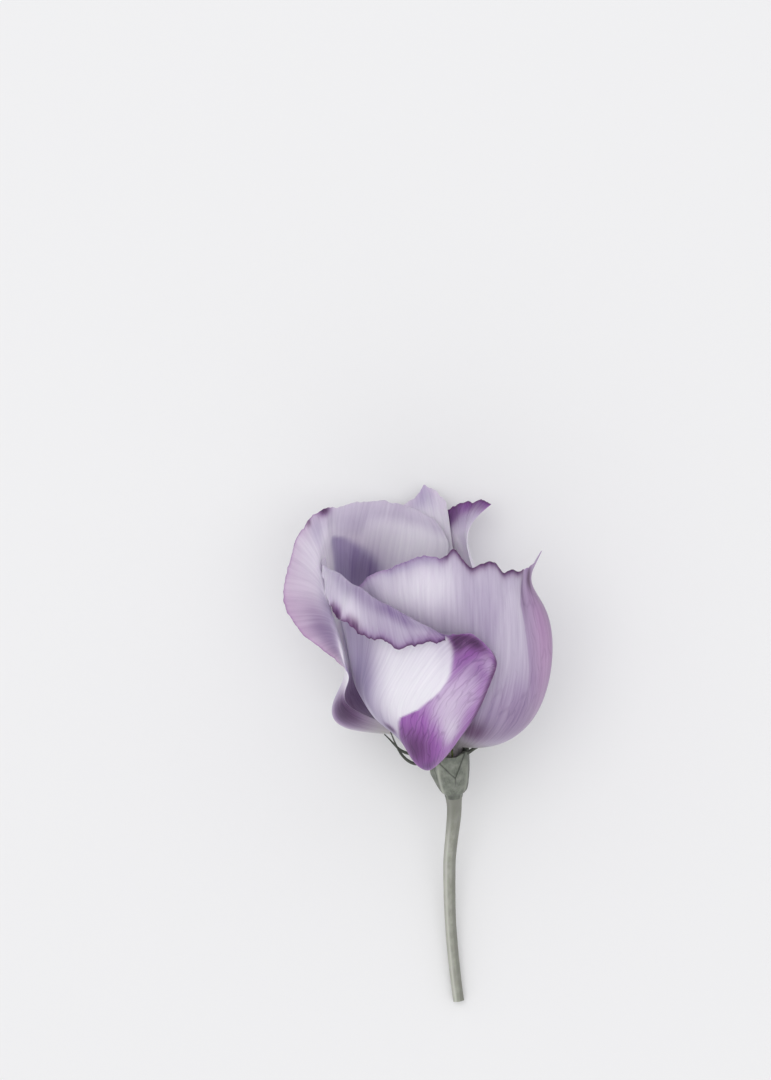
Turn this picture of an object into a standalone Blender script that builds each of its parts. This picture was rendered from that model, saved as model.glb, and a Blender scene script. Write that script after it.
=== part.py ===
"""One lisianthus bloom on its cut stem, lying on its back, in metres with +Z up.

The five petals are smooth sheets run through nets of points read off the bloom, thickened to a
blade. The calyx is a lobed cup with five long awns, the stem a tapering rod with a clean cut.
X runs to the right of the bloom as it is seen from above, Y from the cut towards the bloom's mouth.
"""
import math

import bmesh
import bpy
import numpy as np

MM = 0.001

# Driving dimensions, in millimetres
SHIFT = (0.14, 0.94, 0.0)     # brings the middle of the whole to the origin
BLADE = 0.62                 # thickness of a petal
RUFFLE_FROM = 0.70           # share of the petal's length where the wavy margin begins
CLAW_FOOT_AT = (7.55, -5.6, 15.5)
CLAW_NECK_AT = (7.22, -0.6, 17.5)
CLAW_FOOT_RADIUS = (2.4, 2.45)
CLAW_NECK_RADIUS = (2.45, 2.8)
CALYX_BASE = (8.0, -11.6, 13.1)
CALYX_AXIS = (-0.06, 0.927, 0.37)
CALYX_WALL = 0.6
BLOOM_AXIS = (-0.309, 0.861, 0.408)

# The pistil: its foot above the calyx base, the ovary by share of the way from there to the
# calyx mouth with its radius, the style and stigma by distance past the mouth with the radius
PISTIL_FOOT = 2.6
OVARY = [(0.0, 0.75), (0.04, 1.1), (0.14, 1.5), (0.3, 1.7), (0.55, 1.6), (0.78, 1.15), (0.95, 0.62)]
STYLE = [(1.5, 0.45), (4.0, 0.4), (7.0, 0.42), (8.4, 0.6), (9.2, 1.15), (10.2, 1.45), (11.2, 1.2),
         (11.9, 0.5)]
STIGMA_FROM = 0.82           # share of the pistil's rings where the flattened stigma begins
STIGMA_THINNER = 0.45        # share by which it is thinner one way
STIGMA_WIDER = 0.35          # and wider the other way

# The stamens: the angle of the first, the filament by distance past the calyx mouth with its
# distance from the bloom's middle line, its radius, and the anther's swelling along its length
STAMENS = 5
STAMEN_TURN = -31.0
FILAMENT = [(1.4, 1.45), (3.4, 1.45), (5.6, 1.75), (7.8, 2.4)]
FILAMENT_RADIUS = 0.32
FILAMENT_STEPS = 8
ANTHER = (0.75, 0.55, 1.6)   # half width, half depth, half length
ANTHER_STATIONS = (-0.92, -0.7, -0.3, 0.2, 0.6, 0.88, 1.0)
ANTHER_CORE = 0.12           # least share of the half width, at the ends

# How far the calyx reaches from its centre line, by the distance from its base
CALYX_PROFILE = [(0.0, 2.1), (0.3, 2.25), (0.6, 2.65), (1.25, 3.05), (2.0, 3.2), (2.9, 3.3), (4.4, 3.5),
                 (5.8, 3.65), (8.4, 3.85), (11.6, 4.0)]
CALYX_TOP = 11.4             # distance from the base to a lobe's point
CALYX_NOTCH = 0.9            # how much shorter it is between two lobes
LOBE_SPAN = 36.0             # degrees from a lobe's middle to the notch
LOBES_PART_AT = 5.3          # distance from the base where the free lobes part
LOBE_RISE = 0.2              # how far a lobe stands over the skin between two lobes
LOBE_RISES_OVER = 2.5        # distance from the base over which it comes to stand so
LOBE_EDGE = 8.0              # degrees over which a lobe's edge falls to that skin
KEEL_FROM = 1.2              # distance from the base where the keels begin
KEEL_RISES_OVER = 3.6        # and over which they come to full height
# The five sepals: the angle of the keel, half the lobe's angle, the keel's height and half
# angle, the distance from the base where the lobe has run to a point, the run of its awn
SEPALS = [
    (-48, 56, 0.35, 11, 8.8, [(2.2, -4.0, 20.2), (-0.4, -4.6, 21.2), (-3.1, -3.2, 22.0), (-4.9, -0.5, 22.6),
                              (-6.2, 2.6, 23.2)]),
    (-100, 36, 1.2, 24, 10.6, [(1.0, -2.5, 15.6), (-1.5, -2.7, 14.8), (-3.9, -1.9, 14.2), (-6.0, 0.1, 13.8),
                               (-7.6, 1.7, 13.6)]),
    (50, 42, 0.35, 11, 10.8, [(11.2, -2.1, 19.4), (12.3, -1.4, 19.0), (14.4, -0.3, 17.4), (16.8, 1.4, 15.6),
                              (19.2, 3.4, 14.2)]),
    (120, 36, 0.4, 12, 10.6, [(12.0, 0.0, 13.4), (14.0, 1.8, 11.6), (16.4, 4.2, 10.2), (18.4, 6.4, 9.4)]),
    (-168, 36, 0.4, 12, 10.6, [(7.4, 1.4, 10.4), (8.2, 4.0, 7.8), (8.8, 6.5, 5.5), (9.3, 8.8, 3.8)]),
]
AWN_RADII = (0.62, 0.46, 0.38, 0.34, 0.32, 0.30)
AWN_STEPS = 14

# Centre line of the stem from the cut to under the calyx, with its radius
STEM = [(9.33, -59.5, 1.26, 1.25), (8.75, -55.3, 1.6, 1.25), (7.87, -47.0, 2.4, 1.27),
        (7.3, -38.7, 4.0, 1.31), (7.13, -30.0, 6.3, 1.4), (7.21, -26.2, 7.5, 1.42), (7.7, -21.0, 9.3, 1.5),
        (8.1, -16.8, 10.95, 1.62), (8.14, -14.2, 11.95, 1.7), (8.05, -12.8, 12.6, 1.86),
        (8.02, -11.95, 12.95, 2.0)]

# The petals. Each net runs from the calyx out to the rim; a row runs across the veins.
# "claw" is the span of angles of its foot, "rim" the small waves of its margin:
# (place across 0..1, half width, reach along the petal, lift off it).
PETALS = {
    "petal_1": {
        "claw": (-62, 0),
        "grid": (36, 21),
        "rim": [(0.30, 0.025, -0.3, -0.4), (0.36, 0.03, 0.5, 0.5), (0.42, 0.03, -0.5, -0.5),
                (0.50, 0.035, 0.2, 0.4), (0.55, 0.03, -0.2, -0.4), (0.61, 0.035, 0.9, 0.4),
                (0.69, 0.035, -0.2, -0.4), (0.77, 0.03, 0.1, 0.3)],
        "rows": [
            [(3.4, 1.4, 20.4), (2.2, 0.6, 22.2), (0.8, -0.4, 25.0), (-0.2, -1.7, 28.0), (0.1, -3.2, 30.3),
             (1.0, -4.5, 31.5), (2.4, -5.2, 32), (4, -4.2, 31.5), (6, -2.3, 29.8), (8.4, 0.7, 27.3)],
            [(-0.4, 3.7, 21.4), (-2.2, 3.4, 24.0), (-3.9, 3.0, 27.4), (-4.2, 1.8, 31), (-3.2, 0.2, 34.5),
             (-1.5, -1.7, 36.8), (1.5, -2.4, 37.8), (4.4, -1.6, 37.2), (6.9, 0, 35), (9.4, 2.0, 31.2)],
            [(-6.0, 7.4, 22), (-8.6, 7.2, 24.5), (-9.6, 6.6, 28.5), (-9.2, 5.8, 33), (-7.2, 5.2, 37.3),
             (-3.4, 4.4, 40.8), (0.8, 4.0, 42.6), (4.7, 3.8, 42.3), (8.2, 4.2, 39.8), (11.2, 4.6, 35.6)],
            [(-12.0, 13, 23.5), (-13.7, 13, 26.5), (-13.4, 12.8, 29.7), (-12.4, 12.3, 34), (-11, 11.6, 38.8),
             (-6.5, 10.8, 43), (-1.5, 10.2, 45.6), (3.8, 9.8, 46.4), (9, 9.8, 44.8), (13.5, 9, 40.5)],
            [(-14.2, 23, 27), (-15.9, 23.2, 29.4), (-15.0, 23, 32.4), (-13, 22.5, 36), (-10.5, 22, 40.5),
             (-6, 21.3, 44.5), (-0.5, 20.2, 47), (5, 18.8, 48), (10.8, 17, 47.3), (15.7, 14.5, 44)],
            [(-19.3, 36, 25.0), (-20.3, 38.0, 27.0), (-19.8, 38.6, 30.5), (-17.4, 37.6, 36.5),
             (-13, 34.4, 41.5), (-7, 30.8, 45.3), (-0.5, 27.4, 48), (5.5, 24.8, 49.0), (11.8, 24.0, 46.8),
             (16.9, 18.6, 44.0)],
            [(-20.7, 41.6, 24.5), (-21.2, 40.0, 27.5), (-21.0, 36.7, 32.5), (-19.7, 31.6, 38.5),
             (-16, 26.9, 43.5), (-9, 23.5, 48.2), (-1.5, 22.6, 50.4), (5.2, 23.4, 49.7), (11.2, 24.6, 45.0),
             (16.2, 20.6, 42.6)],
        ],
    },
    "petal_2": {
        "claw": (10, 72),
        "grid": (36, 17),
        "rim": [(0.08, 0.02, 0.3, 0.3), (0.14, 0.02, -0.2, -0.3), (0.235, 0.03, 0.6, 0.4),
                (0.29, 0.02, -0.2, -0.3), (0.345, 0.022, 1.7, 0.7), (0.41, 0.028, -1.4, -0.7),
                (0.482, 0.022, 0.8, 0.5), (0.532, 0.02, -0.8, -0.5), (0.57, 0.02, 0.4, 0.3),
                (0.86, 0.022, 1.5, 0.0)],
        "rows": [
            [(5.5, 2.2, 22.0), (6.3, 1.8, 23.2), (7.6, 1.3, 24.2), (9.2, 0.7, 25.0), (10.8, 0.1, 25.4),
             (12.3, -0.5, 25.1), (13.7, -0.7, 24.1), (14.7, -0.6, 22.4), (15.0, -0.2, 20.5),
             (14.4, 0.6, 18.4)],
            [(-1, 11, 28.6), (1, 10, 32.0), (4.5, 9, 35.1), (9, 8.5, 36.6), (13.5, 7.5, 36.6),
             (18.5, 6, 34.3), (21.8, 5, 31), (24.2, 4.8, 27), (25.2, 6, 22), (23.2, 8, 16.5)],
            [(-6.5, 19, 32.0), (-3, 19, 36.5), (2.5, 18.5, 38.6), (9, 18, 39.6), (15.3, 17.5, 39.8),
             (21.2, 17, 37.8), (24.6, 16.5, 36.0), (27.9, 17, 30.8), (29.4, 18, 24), (26.8, 19, 16.5)],
            [(-11, 27, 33.5), (-6, 28, 38.0), (1, 29, 40.8), (8.5, 29, 41.8), (15.3, 29, 41.8),
             (21.2, 29, 39.6), (23.2, 29.3, 37.2), (26.5, 29.5, 33.5), (27.9, 30, 26.5), (25.3, 29.5, 18)],
            [(-12.8, 31.8, 33.8), (-7.5, 34.5, 38.1), (0.7, 36.8, 40.8), (8.2, 36.8, 41.6), (15.2, 36, 40.8),
             (20.6, 35.2, 38.6), (22.4, 35.3, 36.0), (24.3, 35.9, 32.8), (24.7, 36.3, 27.5),
             (23.9, 34.8, 20.5)],
            [(-14.2, 34.4, 34.0), (-8.5, 38.5, 37.8), (0.5, 41.2, 40.4), (8, 41.4, 41), (15, 40, 39.7),
             (20.8, 38.5, 37.4), (22.8, 38.7, 35.0), (24.6, 39.6, 32.0), (26.4, 41.0, 27),
             (24.8, 38.6, 21.5)],
        ],
    },
    "petal_3": {
        "claw": (82, 144),
        "grid": (18, 15),
        "rim": [(0.16, 0.05, 0.4, -0.3), (0.32, 0.05, -0.3, 0.4), (0.50, 0.06, 0.3, -0.3),
                (0.7, 0.06, -0.3, 0.3)],
        "rows": [
            [(13.0, 4.0, 18.9), (14.4, 4.4, 16.8), (14.3, 5, 14.3), (13.2, 5.5, 12.6), (11.8, 5.9, 11.8)],
            [(20.2, 10, 20.0), (22.0, 10, 14.0), (20.8, 10.8, 8.5), (17, 12, 4), (12.4, 13.3, 2.4)],
            [(19.6, 21, 20.0), (21.2, 21, 13.5), (19.6, 22.5, 7), (15.7, 24, 1.9), (10.5, 25.5, 0.3)],
            [(13.4, 36, 16.0), (14.0, 36, 11.5), (13.3, 37, 6.4), (10.6, 37.5, 1.9), (6.4, 38, 0.15)],
            [(11.4, 47.6, 12.2), (10.9, 47.6, 9.4), (9.6, 47.6, 6.2), (6.6, 47.2, 3.4), (3, 46.5, 1.4)],
            [(16.5, 53.4, 9.5), (13.5, 54.2, 7.5), (9.7, 53.5, 5.5), (6.1, 52.2, 3.6), (2, 50.5, 2)],
        ],
    },
    "petal_4": {
        "claw": (154, 216),
        "grid": (20, 15),
        "rim": [(0.12, 0.05, 0.2, 0.3), (0.26, 0.035, 0.7, 0.2), (0.40, 0.06, -0.6, -0.3),
                (0.56, 0.05, 0.2, 0.4), (0.75, 0.06, -0.2, -0.3)],
        "rows": [
            [(9.9, 5.2, 13.4), (8.6, 5.7, 12.3), (7.0, 6.0, 11.6), (5.3, 5.9, 11.0), (4.0, 5.7, 10.9)],
            [(14, 14, 7.4), (8.5, 15, 4.8), (2.5, 14.5, 4.0), (-3.5, 13.2, 4.0), (-7.6, 12.0, 4.4)],
            [(12.8, 26, 5.6), (6.5, 27, 2.9), (-0.5, 27, 1.9), (-7.5, 25.5, 1.4), (-13.5, 23, 1.8)],
            [(8.8, 39, 4.4), (4.4, 40, 3.2), (-2, 40, 2.0), (-8.5, 38, 0.9), (-14.5, 34.5, 0.15)],
            [(7.3, 48.4, 5.0), (3.2, 50.2, 4.2), (-2.5, 49.7, 2.6), (-8, 47, 1.4), (-13, 44, 0.9)],
            [(6.4, 54.0, 5.0), (1.8, 57.2, 4.2), (-2.4, 53.8, 3.2), (-7.5, 52, 2), (-12, 49, 1.4)],
        ],
    },
    "petal_5": {
        "claw": (226, 288),
        "grid": (34, 20),
        "rim": [(0.12, 0.03, -0.2, 0.3), (0.22, 0.03, 0.3, -0.3), (0.37, 0.02, -0.5, 0.5),
                (0.43, 0.02, -0.7, -0.6), (0.50, 0.025, 0.4, 0.5), (0.57, 0.025, -0.2, -0.5),
                (0.64, 0.025, 0.3, 0.5), (0.71, 0.025, -0.3, -0.5), (0.78, 0.03, 0.3, 0.4)],
        "rows": [
            [(4.9, 4.2, 14.3), (3.9, 3.8, 13.8), (2.8, 3.3, 13.6), (1.8, 2.7, 14.2), (1.0, 2.1, 15.4),
             (0.6, 1.6, 16.8), (0.3, 1.4, 18.2), (0.2, 1.4, 19.2), (0.3, 1.7, 20.0)],
            [(1.5, 11.4, 9.4), (-4, 11.2, 8.5), (-8, 9.6, 8.8), (-11.2, 7.6, 10), (-14, 5.2, 13),
             (-15.6, 3.7, 16.5), (-15.9, 3.5, 20), (-14.8, 4.8, 24), (-12.6, 6.8, 26.4)],
            [(1, 19, 7.0), (-6.5, 19, 5.9), (-11.5, 17.5, 6.5), (-14.6, 14.5, 9.5), (-17.0, 11.2, 13.5),
             (-18.7, 9.0, 18), (-18.9, 8.4, 22.2), (-17.8, 9.3, 26), (-16.4, 10.2, 28.6)],
            [(2, 27, 6.0), (-7.5, 27.5, 4.8), (-14.0, 26.5, 5.8), (-16.8, 22.5, 10.5), (-16.4, 18.6, 16.5),
             (-15.9, 16.6, 22), (-15.9, 15.6, 26.2), (-15.8, 14.6, 29), (-15.6, 14.0, 30.6)],
            [(4.5, 36, 5.2), (-6.5, 38, 5.8), (-14.6, 38.3, 8.3), (-18.7, 36, 14.3), (-19.9, 31.2, 25.8),
             (-18.0, 25.3, 29.0), (-16.8, 21.4, 31.4), (-16.3, 18, 32), (-15.7, 16.0, 31.6)],
            [(7, 43.5, 6.3), (-5, 47, 8.6), (-13.7, 46.6, 12.8), (-19.6, 45.7, 17.6), (-22.1, 40.2, 24.9),
             (-21.3, 31.9, 29.0), (-19.2, 25.5, 31.6), (-17.2, 20.2, 32.1), (-16.0, 16.5, 31.6)],
            [(3.5, 50.2, 6.0), (-4, 53.4, 7.0), (-12, 53.9, 9.6), (-20, 52.6, 13.6), (-26.2, 47.2, 18),
             (-29.9, 34, 21), (-26, 24.8, 25.5), (-19, 19.4, 29.4), (-16.2, 16.8, 30.6)],
        ],
    },
}
STEM_COLOUR = (0.30, 0.34, 0.26)
CALYX_COLOUR = (0.20, 0.24, 0.17)
PISTIL_COLOUR = (0.45, 0.55, 0.22)
STAMEN_COLOUR = (0.72, 0.62, 0.25)
PETAL_COLOURS = {
    "petal_1": (0.80, 0.77, 0.86),
    "petal_2": (0.72, 0.64, 0.78),
    "petal_3": (0.62, 0.48, 0.72),
    "petal_4": (0.76, 0.70, 0.84),
    "petal_5": (0.70, 0.62, 0.80),
}


def unit(vector):
    """The vector with length one."""
    vector = np.asarray(vector, float)
    return vector / np.linalg.norm(vector)


def frame_round(axis):
    """Two directions square to an axis: the one nearest straight up, and the one to its right."""
    axis = unit(axis)
    near = unit(np.array([0.0, 0.0, 1.0]) - axis[2] * axis)
    return near, np.cross(axis, near)


def spline(points, knots, at):
    """A natural cubic curve through points at the knots, read off at the places wanted."""
    count = len(knots)
    step = np.diff(knots)
    slope = np.diff(points, axis=0) / step[:, None]
    bend = np.zeros_like(points)
    if count > 2:
        matrix = np.zeros((count - 2, count - 2))
        for i in range(count - 2):
            matrix[i, i] = 2.0 * (step[i] + step[i + 1])
            if i > 0:
                matrix[i, i - 1] = step[i]
            if i < count - 3:
                matrix[i, i + 1] = step[i + 1]
        bend[1:-1] = np.linalg.solve(matrix, 6.0 * np.diff(slope, axis=0))
    piece = np.clip(np.searchsorted(knots, at, side="right") - 1, 0, count - 2)
    past = (at - knots[piece])[:, None]
    left = (knots[piece + 1] - at)[:, None]
    width = step[piece][:, None]
    return ((bend[piece] * left**3 + bend[piece + 1] * past**3) / (6.0 * width)
            + (points[piece] / width - bend[piece] * width / 6.0) * left
            + (points[piece + 1] / width - bend[piece + 1] * width / 6.0) * past)


def knots_along(net, axis):
    """Knots shared by the whole net, from the square root of the mean distance of its points."""
    gaps = np.sqrt(np.linalg.norm(np.diff(net, axis=axis), axis=2)).mean(axis=1 - axis)
    total = np.concatenate([[0.0], np.cumsum(gaps)])
    return total / total[-1]


def claw(centre, axis, radius, span, count):
    """One row of a petal's foot, an arc round the calyx."""
    near, side = frame_round(axis)
    turns = np.radians(np.linspace(span[0], span[1], count))
    reach = np.linspace(radius[0], radius[1], count)
    return [np.array(centre) + r * (math.cos(a) * near + math.sin(a) * side) for a, r in zip(turns, reach)]


def petal_net(petal):
    """All the points a petal runs through, foot rows first."""
    count = len(petal["rows"][0])
    foot = claw(CLAW_FOOT_AT, CALYX_AXIS, CLAW_FOOT_RADIUS, petal["claw"], count)
    neck = claw(CLAW_NECK_AT, CALYX_AXIS, CLAW_NECK_RADIUS, petal["claw"], count)
    between = [(a + b) / 2.0 for a, b in zip(foot, neck)]
    return np.array([foot, between, neck] + petal["rows"], float)


def sheet(net, across, along):
    """Points of the smooth sheet through a net: one row for each place along, from foot to rim."""
    rows = np.stack([spline(row, knots_along(net[3:], 1), across) for row in net])
    return np.stack([spline(rows[:, j], knots_along(net, 0), along) for j in range(len(across))], axis=1)


def normals(points):
    """Unit normals of a grid of points."""
    cross = np.cross(np.gradient(points, axis=1), np.gradient(points, axis=0))
    return cross / np.linalg.norm(cross, axis=2, keepdims=True)


def ruffle(points, waves, across, along):
    """Moves the margin by the petal's small waves, more and more towards the rim."""
    grow = np.clip((along - RUFFLE_FROM) / (1.0 - RUFFLE_FROM), 0.0, 1.0) ** 2
    out = np.gradient(points, axis=0)
    out /= np.linalg.norm(out, axis=2, keepdims=True)
    lift = normals(points)
    for place, half, reach, rise in waves:
        wave = np.exp(-(((across - place) / half) ** 2))
        weight = grow[:, None, None] * wave[None, :, None]
        points = points + weight * (reach * out + rise * lift)
    return points


def add_object(name, vertices, faces, colour, roughness):
    """One closed body with its own plain material, turned to face outwards."""
    mesh = bpy.data.meshes.new(name)
    mesh.from_pydata([tuple(np.asarray(v) + np.array(SHIFT) * MM) for v in vertices], [], faces)
    mesh.validate()
    work = bmesh.new()
    work.from_mesh(mesh)
    bmesh.ops.recalc_face_normals(work, faces=work.faces)
    work.to_mesh(mesh)
    work.free()
    part = bpy.data.objects.new(name, mesh)
    bpy.context.scene.collection.objects.link(part)
    material = bpy.data.materials.new(name)
    material.use_nodes = True
    shader = material.node_tree.nodes["Principled BSDF"]
    shader.inputs["Base Color"].default_value = (*colour, 1.0)
    shader.inputs["Roughness"].default_value = roughness
    mesh.materials.append(material)
    return part


def blade(name, petal, colour):
    """One petal: its sheet thickened both ways and closed round its margin."""
    columns, rows = petal["grid"]
    across = np.linspace(0.0, 1.0, columns)
    along = np.linspace(0.0, 1.0, rows)
    middle = ruffle(sheet(petal_net(petal), across, along), petal["rim"], across, along)
    off = normals(middle) * (BLADE / 2.0)
    faces_of = [middle + off, middle - off]
    for side in faces_of:
        side[..., 2] = np.maximum(side[..., 2], 0.0)
    # where the petal lies on the ground its upper face keeps the full blade above it
    low, high = (0, 1) if faces_of[0][..., 2].min() < faces_of[1][..., 2].min() else (1, 0)
    pressed = faces_of[low][..., 2] <= 0.0
    upper = faces_of[high][..., 2]
    faces_of[high][..., 2] = np.where(pressed, np.maximum(upper, BLADE), upper)
    vertices = np.concatenate([side.reshape(-1, 3) for side in faces_of]) * MM
    half = columns * rows

    def at(layer, j, i):
        return layer * half + j * columns + i

    faces = []
    for j in range(rows - 1):
        for i in range(columns - 1):
            a, b, c, d = (at(0, j, i), at(0, j, i + 1), at(0, j + 1, i + 1), at(0, j + 1, i))
            faces += [(a, b, c), (a, c, d)]
            a, b, c, d = (at(1, j, i), at(1, j, i + 1), at(1, j + 1, i + 1), at(1, j + 1, i))
            faces += [(c, b, a), (d, c, a)]
    ring = [(0, i) for i in range(columns)] + [(j, columns - 1) for j in range(1, rows)]
    ring += [(rows - 1, i) for i in range(columns - 2, -1, -1)] + [(j, 0) for j in range(rows - 2, 0, -1)]
    for k, (j, i) in enumerate(ring):
        j_next, i_next = ring[(k + 1) % len(ring)]
        faces += [(at(0, j_next, i_next), at(0, j, i), at(1, j, i)),
                  (at(0, j_next, i_next), at(1, j, i), at(1, j_next, i_next))]
    return add_object(name, vertices, faces, colour, 0.6)


def loft(rings):
    """Vertices and faces of a closed body through rings of equal count."""
    count = len(rings[0])
    vertices = [p for ring in rings for p in ring]
    faces = []
    for k in range(len(rings) - 1):
        for i in range(count):
            n = (i + 1) % count
            a, b = k * count + i, k * count + n
            c, d = (k + 1) * count + n, (k + 1) * count + i
            faces += [(a, b, c), (a, c, d)]
    faces.append(tuple(range(count))[::-1])
    faces.append(tuple((len(rings) - 1) * count + i for i in range(count)))
    return vertices, faces


def rod_rings(path, radii, sides):
    """Rings of a round rod along a path, turned without twist."""
    path = np.asarray(path, float)
    along = np.gradient(path, axis=0)
    along /= np.linalg.norm(along, axis=1, keepdims=True)
    one = unit(np.cross(along[0], np.array([0.31, 0.17, 0.93])))
    rings = []
    for point, direction, radius in zip(path, along, radii):
        one = unit(one - direction * np.dot(one, direction))
        two = np.cross(direction, one)
        turns = np.linspace(0.0, 2.0 * math.pi, sides, endpoint=False)
        rings.append([(point + radius * (math.cos(a) * one + math.sin(a) * two)) * MM for a in turns])
    return rings


def smooth_path(points, count):
    """A curve through points given with any number of values each, at even steps."""
    points = np.array(points, float)
    gaps = np.sqrt(np.linalg.norm(np.diff(points[:, :3], axis=0), axis=1))
    knots = np.concatenate([[0.0], np.cumsum(gaps)])
    return spline(points, knots / knots[-1], np.linspace(0.0, 1.0, count))


def stem():
    """The stalk from the cut to the little swelling under the calyx."""
    run = smooth_path(STEM, 22)
    vertices, faces = loft(rod_rings(run[:, :3], run[:, 3], 14))
    return add_object("stem", vertices, faces, STEM_COLOUR, 0.55)


def away(turn, keel):
    """The angle from a sepal's keel, in degrees, from -180 to 180."""
    return (turn - keel + 180.0) % 360.0 - 180.0


def calyx_point(turn, reach, inward):
    """A point on the calyx by its angle in degrees, its distance from the base and its depth."""
    near, side = frame_round(CALYX_AXIS)
    radius = float(np.interp(reach, *zip(*CALYX_PROFILE)))
    lobe = keel = 0.0
    for middle, half, height, width, tip, _ in SEPALS:
        off = away(turn, middle)
        narrow = min(1.0, max(0.0, (reach - LOBES_PART_AT) / (tip - LOBES_PART_AT)))
        reached = half - (half - LOBE_EDGE) * narrow - abs(off)
        lobe = max(lobe, min(1.0, max(0.0, reached / LOBE_EDGE)))
        keel += height * math.exp(-((off / width) ** 2))
    swell = LOBE_RISE * lobe * min(1.0, reach / LOBE_RISES_OVER)
    swell += keel * min(1.0, max(0.0, reach - KEEL_FROM) / KEEL_RISES_OVER)
    radius += swell * (1.0 - inward) - inward * CALYX_WALL
    a = math.radians(turn)
    return (np.array(CALYX_BASE) + reach * unit(CALYX_AXIS)
            + radius * (math.cos(a) * near + math.sin(a) * side)) * MM


def calyx_top(turn):
    """How far the calyx reaches at an angle: five pointed lobes."""
    nearest = min(abs(away(turn, sepal[0])) for sepal in SEPALS)
    return CALYX_TOP - CALYX_NOTCH * min(1.0, nearest / LOBE_SPAN) ** 0.8


def calyx():
    """The cup with its five lobes, and the awn each lobe runs out into, grown together."""
    turns = np.linspace(-180.0, 180.0, 60, endpoint=False)
    outside = [0.0, 0.1, 0.2, 0.3, 0.42, 0.55, 0.68, 0.8, 0.9, 1.0]
    inside = [1.0, 0.85, 0.7, 0.5, 0.3, 0.16]
    rings = [[calyx_point(t, s * calyx_top(t), 0.0) for t in turns] for s in outside]
    rings += [[calyx_point(t, s * calyx_top(t), 1.0) for t in turns] for s in inside]
    vertices, faces = loft(rings)
    cup = add_object("calyx", vertices, faces, CALYX_COLOUR, 0.6)
    for turn, _, _, _, tip, run in SEPALS:
        root = [tuple(calyx_point(turn, reach, 0.5) / MM) for reach in (tip - 1.2, tip - 0.2)]
        path = smooth_path(root + run, AWN_STEPS)
        radii = np.interp(np.linspace(0, 1, AWN_STEPS), np.linspace(0, 1, len(AWN_RADII)), AWN_RADII)
        vertices, faces = loft(rod_rings(path, radii, 7))
        awn = add_object("awn", vertices, faces, CALYX_COLOUR, 0.6)
        awn.hide_render = True
        awn.display_type = "WIRE"
        union = cup.modifiers.new("awn", "BOOLEAN")
        union.operation = "UNION"
        union.solver = "EXACT"
        union.use_self = True
        union.object = awn
    return cup


def bloom_line(reach):
    """A point on the middle line of the bloom, by its distance from the calyx mouth."""
    return np.array(CLAW_NECK_AT) + reach * unit(BLOOM_AXIS)


def pistil():
    """Ovary, style and the two-lobed stigma."""
    base = np.array(CALYX_BASE) + PISTIL_FOOT * unit(CALYX_AXIS)
    top = np.array(CLAW_NECK_AT)
    stations = [(*(base + share * (top - base)), radius) for share, radius in OVARY]
    stations += [(*bloom_line(reach), radius) for reach, radius in STYLE]
    run = smooth_path(stations, 30)
    rings = rod_rings(run[:, :3], run[:, 3], 12)
    centres = [np.mean(ring, axis=0) for ring in rings]
    near, side = frame_round(BLOOM_AXIS)
    for ring, centre, place in zip(rings, centres, np.linspace(0, 1, len(rings))):
        if place > STIGMA_FROM:
            for i, point in enumerate(ring):
                off = point - centre
                ring[i] = (centre + off - STIGMA_THINNER * np.dot(off, near) * near
                           + STIGMA_WIDER * np.dot(off, side) * side)
    vertices, faces = loft(rings)
    return add_object("pistil", vertices, faces, PISTIL_COLOUR, 0.5)


def stamen(index):
    """One filament with its anther, standing just inside a petal's foot."""
    near, side = frame_round(BLOOM_AXIS)
    turn = math.radians(STAMEN_TURN + 360.0 / STAMENS * index)
    outward = math.cos(turn) * near + math.sin(turn) * side
    path = [bloom_line(reach) + radius * outward for reach, radius in FILAMENT]
    run = smooth_path(path, FILAMENT_STEPS)
    rings = rod_rings(run, [FILAMENT_RADIUS] * FILAMENT_STEPS, 8)
    tip = run[-1]
    spokes = [point / MM - tip for point in rings[-1]]
    axis = unit(run[-1] - run[-2])
    across = unit(np.cross(axis, outward))
    depth = np.cross(across, axis)
    for share in ANTHER_STATIONS:
        swell = math.sqrt(max(0.0, 1.0 - share * share)) + ANTHER_CORE
        centre = tip + axis * (ANTHER[2] * (share + 1.0) + 0.1)
        ring = []
        for spoke in spokes:
            angle = math.atan2(np.dot(spoke, depth), np.dot(spoke, across))
            ring.append((centre + swell * (ANTHER[0] * math.cos(angle) * across
                                           + ANTHER[1] * math.sin(angle) * depth)) * MM)
        rings.append(ring)
    vertices, faces = loft(rings)
    return add_object(f"stamen_{index + 1}", vertices, faces, STAMEN_COLOUR, 0.6)


def main():
    """Clears the scene and builds every piece of the bloom."""
    for thing in list(bpy.data.objects):
        bpy.data.objects.remove(thing, do_unlink=True)
    stem()
    calyx()
    for name, petal in PETALS.items():
        blade(name, petal, PETAL_COLOURS[name])
    pistil()
    for index in range(STAMENS):
        stamen(index)


main()
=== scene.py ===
"""The looks of a lisianthus bloom lying on its back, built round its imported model.

Five petals, the calyx, the stem, the pistil and the five stamens are made again here in finer form,
each where its plain solid stands. All sizes are in millimetres unless a name says otherwise.
X runs to the right as the bloom is seen from above, Y from the cut of the stem towards the mouth.
"""
from __future__ import annotations

import logging
import math
from dataclasses import dataclass
from enum import Enum
from typing import Iterable, Sequence

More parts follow.
